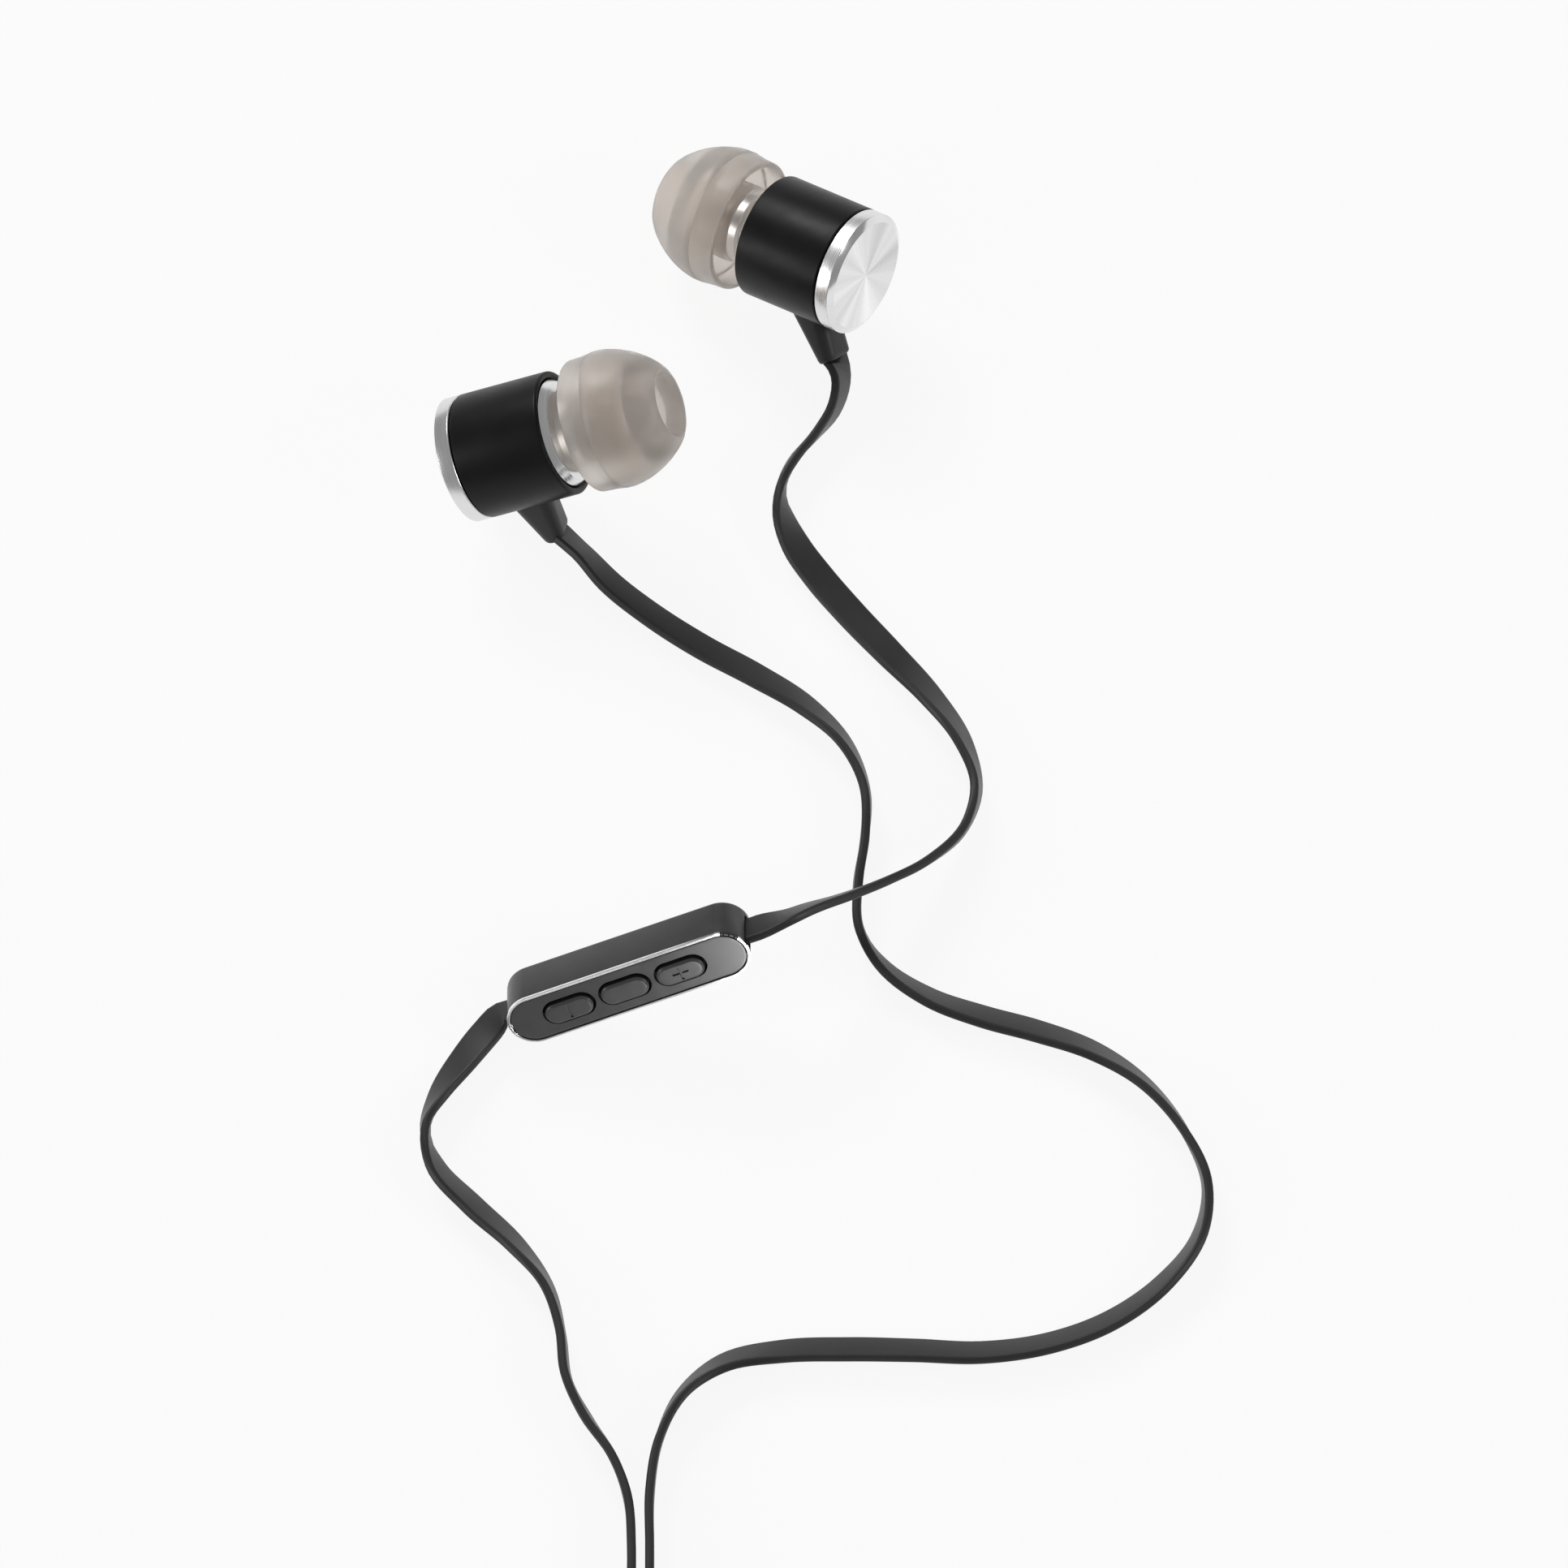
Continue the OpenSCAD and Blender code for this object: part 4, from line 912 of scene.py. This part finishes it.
class EARPHONES_OT_ear_tips(bpy.types.Operator):
    """Mould the silicone ear tips"""

    bl_idname = "earphones.ear_tips"
    bl_label = "Ear tips"

    def execute(self, context):
        wide, mouth = sizes().tip_diameter / MM / 2, 3.3
        parting = TIP_Z + 2.3
        line = [(5.52, TIP_Z + 0.02, 0.05), (5.86, TIP_Z, 0.1), (5.97, TIP_Z + 0.15, 0.1),
                (wide - 0.17, TIP_Z + 1.2, 0.5), (wide - 0.05, parting - 0.04),
                (wide - 0.08, parting), (wide - 0.01, parting + 0.05)]
        for k in range(1, 25):
            t = k / 24
            line.append((mouth + (wide - mouth) * (1 - t ** 1.75) ** 0.8,
                         TIP_Z + 2.7 + 5.5 * t))
        line[-1] = (mouth, TIP_Z + 8.18, 0.12)
        line += [(mouth - 0.3, TIP_Z + 8.26, 0.15), (2.72, TIP_Z + 7.75, 0.3),
                 (2.5, TIP_Z + 6.6, 0.3), (2.5, 11, 0.05), (3.4, 11, 0.1), (3.6, 11.3, 0.1),
                 (3.5, 15.75, 0.3), (4, 16.15, 0.3), (4.6, 15.55, 0.3), (5.35, 14.35, 0.4),
                 (5.6, 13.45, 0.4)]
        for side in EARS:
            tip = turned(f"{side}_silicone_tip", rounded(line, closed=True), ear_place(side),
                         f"{side}_tip", closed=True, sharp=60)
            stand_for(tip, smoky_silicone("smoky_silicone", tuple(colours().silicone)),
                      f"{side}_ear_tip", slot="silicone")
        return {"FINISHED"}


class EARPHONES_OT_strain_reliefs(bpy.types.Operator):
    """Form the tapered strain reliefs under both earpieces"""

    bl_idname = "earphones.strain_reliefs"
    bl_label = "Strain reliefs"

    def execute(self, context):
        for side in EARS:
            bend = turn(EARS[side][4], "Y")
            root = Vector(RELIEF_ROOT)
            end = root + bend @ Vector((RELIEF_REACH, 0, 0))
            broad = self.section(3.8, 3.5, 1.2)
            slim = [bend @ p for p in self.section(1.9, 3.4, 0.9)]
            rows = [[root + Vector((-1.1, 0, 0)) + p for p in broad],
                    [root + p for p in broad]]
            for t in (0.04, 0.12, 0.3, 0.5, 0.7, 0.85, 0.93):
                rows.append([(root + p).lerp(end + q, t) for p, q in zip(broad, slim)])
            for back, shrink in ((0.14, 0.98), (0.06, 0.94), (0.01, 0.87), (0, 0.8)):
                rows.append([end - bend @ Vector((back, 0, 0)) + q * shrink for q in slim])
            guard = piece(f"{side}_cord_guard", rows, ear_place(side), "set", sharp=40)
            stand_for(guard, moulded_rubber("guard_rubber", tuple(colours().rubber)),
                      f"{side}_strain_relief", slot="rubber")
        return {"FINISHED"}

    def section(self, length, width, radius):
        """A rounded section across the relief."""
        spots = outline(length, width, radius, *WHOLE_BAR, 6)
        return [Vector((0, p[1], p[0])) for p in rim(spots, radius, 0, 0)]


class EARPHONES_OT_inner_parts(bpy.types.Operator):
    """Finish the drivers, meshes and electronics inside"""

    bl_idname = "earphones.inner_parts"
    bl_label = "Inner parts"

    def execute(self, context):
        for side in EARS:
            dress([f"{side}_nozzle_mesh"], woven_wire("woven_wire"))
            dress([f"{side}_driver_frame"],
                  polished_metal("driver_steel", (0.6, 0.6, 0.6), 0.3))
            dress([f"{side}_driver_magnet"],
                  polished_metal("magnet_plate", (0.4, 0.4, 0.42), 0.35))
            dress([f"{side}_driver_diaphragm"], varnished_film("diaphragm_film"))
        dress(["remote_board"], lacquered_board("board_lacquer"))
        dress(["dome_switches"], polished_metal("dome_metal", (0.75, 0.68, 0.5), 0.25))
        dress(["microphone"], polished_metal("microphone_can", (0.6, 0.6, 0.6), 0.3))
        dress(["splitter_joint"], moulded_rubber("joint_rubber", (0.03, 0.03, 0.03)))
        return {"FINISHED"}


class EARPHONES_OT_remote_case(bpy.types.Operator):
    """Mould the remote's shell and face, with its bright trim ring"""

    bl_idname = "earphones.remote_case"
    bl_label = "Remote case"

    def execute(self, context):
        place = remote_place()
        length, width = sizes().remote_length / MM, sizes().remote_width / MM
        r = width / 2
        plastic = moulded_plastic("remote_plastic", tuple(colours().plastic), 0.34)
        shell = bar("remote_tub", length, width, r, rounded([
            (0.9, -2.4), (0, -2.4, 0.55), (0, 2.1, 0.04), (0.6, 2.1), (0.6, -1.9)]),
            place, "set")
        carve(shell, *[box_cutter((4, 1.3, 4.2), (s * length / 2, 0, 0.5), place)
                       for s in (-1, 1)])
        stand_for(shell, plastic, "remote_shell", slot="plastic")

        face = bar("remote_fascia", length, width, r, rounded([
            (0.65, 1.9), (0.65, 2.12), (0.35, 2.12), (0.35, 2.33, 0.06), (0.6, 2.33)]),
            place, "set")
        gap = 0.25
        wells = [bar("cutter", BUTTON_LEN + 2 * gap, BUTTON_WIDTH + 2 * gap,
                     BUTTON_WIDTH / 2 + gap, [(0, 1), (0, 3)], button_place(k), None)
                 for k in (-1, 0, 1)]
        carve(face, *wells)
        stand_for(face, plastic, "remote_face", slot="plastic")

        band = rounded([(0, 2.12, 0.02), (0, 2.4, 0.04), (0.25, 2.4, 0.04), (0.25, 2.12, 0.02)],
                       closed=True)
        low, high = MIC_ANGLE - MIC_HALF, MIC_ANGLE + MIC_HALF
        ring = bar("remote_bright_ring", length, width, r, band, place, "set",
                   span=(high + 1, 360 + low - 1))
        stand_for(ring, polished_metal("chrome_trim", (0.96, 0.96, 0.96), 0.16),
                  "remote_trim_ring", slot="chrome")
        grille = bar("microphone_bridge", length, width, r, rounded(
            [(0.03, 2.12), (0.03, 2.34, 0.06), (0.25, 2.34, 0.06), (0.25, 2.12)], closed=True),
            place, "set", span=(low, high))
        holes = []
        hole_r, spread = r - 0.13, 12
        for k in (-1, 0, 1):
            a = math.radians(MIC_ANGLE + spread * k)
            at = ((length - width) / 2 + hole_r * math.cos(a), hole_r * math.sin(a), 2.3)
            holes.append(turned("cutter", [(0, -0.1), (0.075, -0.1), (0.075, 0.2), (0, 0.2)],
                                place @ shift(at), None, steps=24))
        carve(grille, *holes)
        stand_for(grille, moulded_plastic("grille_plastic", (0.02, 0.02, 0.02)),
                  "microphone_grille", slot="plastic")
        light_up(shell, face, ring, grille)
        return {"FINISHED"}


class EARPHONES_OT_remote_buttons(bpy.types.Operator):
    """Mould the three buttons; the outer two carry a minus and a plus"""

    bl_idname = "earphones.remote_buttons"
    bl_label = "Remote buttons"

    def execute(self, context):
        plastic = moulded_plastic("button_plastic", tuple(colours().plastic), 0.36)
        for k, body, cad in ((-1, "volume_down", "volume_down_button"),
                             (0, "centre", "centre_button"),
                             (1, "volume_up", "volume_up_button")):
            place = button_place(k)
            key = bar(f"{body}_key", BUTTON_LEN, BUTTON_WIDTH, BUTTON_WIDTH / 2, rounded([
                (-0.3, 1.5), (-0.3, 1.85), (0, 1.85), (0, 2.56, 0.04), (0.22, 2.74, 0.12),
                (0.6, 2.74)]), place, body)
            groove, stroke = 0.22, 1.55
            marks = {-1: [(groove, stroke)], 0: [],
                     1: [(groove, stroke), (stroke, groove)]}[k]
            cutters = [bar("cutter", x, y, 0.109, [(0, 2.6), (0, 2.9)], place, None)
                       for x, y in marks]
            if cutters:
                carve(key, *cutters)
            stand_for(key, plastic, cad, slot="plastic")
            light_up(key)
            # The key's lower walls and flange, below the face, are near black: painted shade in
            # the gap around each key
            key.data.materials.append(moulded_rubber("painted_well_shade", (0.003, 0.003, 0.003), 0.9))
            well_shade_top = 2.3 * MM
            for face in key.data.polygons:
                if face.center.z < well_shade_top:
                    face.material_index = 1
        return {"FINISHED"}


class EARPHONES_OT_splitter(bpy.types.Operator):
    """Mould the splitter's two shells"""

    bl_idname = "earphones.splitter"
    bl_label = "Splitter"

    def execute(self, context):
        place = shift(ORIGIN + Vector(SPLITTER_AT))
        satin = satin_anodised("splitter_satin", tuple(colours().sleeve))
        for name, cad, up in (("splitter_upper", "splitter_top_shell", 1),
                              ("splitter_lower", "splitter_bottom_shell", -1)):
            shell = bar(name, 5.6, 12, 1.8, rounded([
                (0.6, 1.55 * up), (0.6, 0.02 * up), (0.07, 0.02 * up, 0.02), (0, 0.12 * up, 0.05),
                (0, 1.95 * up, 0.75), (1.5, 1.95 * up)]), place, "set")
            carve(shell, box_cutter((2.6, 4, 3.2), (0, 6, 0), place),
                  box_cutter((1.0, 4, 3.2), (0, -6, 0), place))
            stand_for(shell, satin, cad, slot="black_metal")
        return {"FINISHED"}


class EARPHONES_PT_pieces(bpy.types.Panel):
    """Buttons for the earphones' pieces"""

    bl_idname = "EARPHONES_PT_pieces"
    bl_label = "Earphones"
    bl_space_type = "VIEW_3D"
    bl_region_type = "UI"
    bl_category = "Earphones"

    def draw(self, context):
        """Lists the sizes, the colours and the operators."""
        for group in (context.scene.earphone_sizes, context.scene.earphone_colours):
            column = self.layout.column()
            for name in group.__annotations__:
                column.prop(group, name)
        for step in STEPS:
            self.layout.operator(step.bl_idname)


STEPS = (
    EARPHONES_OT_stage,
    EARPHONES_OT_ribbon_cords,
    EARPHONES_OT_main_cord,
    EARPHONES_OT_housings,
    EARPHONES_OT_ear_tips,
    EARPHONES_OT_strain_reliefs,
    EARPHONES_OT_inner_parts,
    EARPHONES_OT_remote_case,
    EARPHONES_OT_remote_buttons,
    EARPHONES_OT_splitter,
)
CLASSES = (EarphoneSizes, EarphoneColours, *STEPS, EARPHONES_PT_pieces)


def register():
    """Adds the classes and the scene's sizes and colours."""
    for cls in CLASSES:
        bpy.utils.register_class(cls)
    bpy.types.Scene.earphone_sizes = bpy.props.PointerProperty(type=EarphoneSizes)
    bpy.types.Scene.earphone_colours = bpy.props.PointerProperty(type=EarphoneColours)


def unregister():
    """Takes away what register adds."""
    del bpy.types.Scene.earphone_colours
    del bpy.types.Scene.earphone_sizes
    for cls in reversed(CLASSES):
        bpy.utils.unregister_class(cls)


def main():
    """Builds the whole object."""
    register()
    for step in STEPS:
        group, name = step.bl_idname.split(".")
        getattr(getattr(bpy.ops, group), name)()


if __name__ == "__main__":
    main()
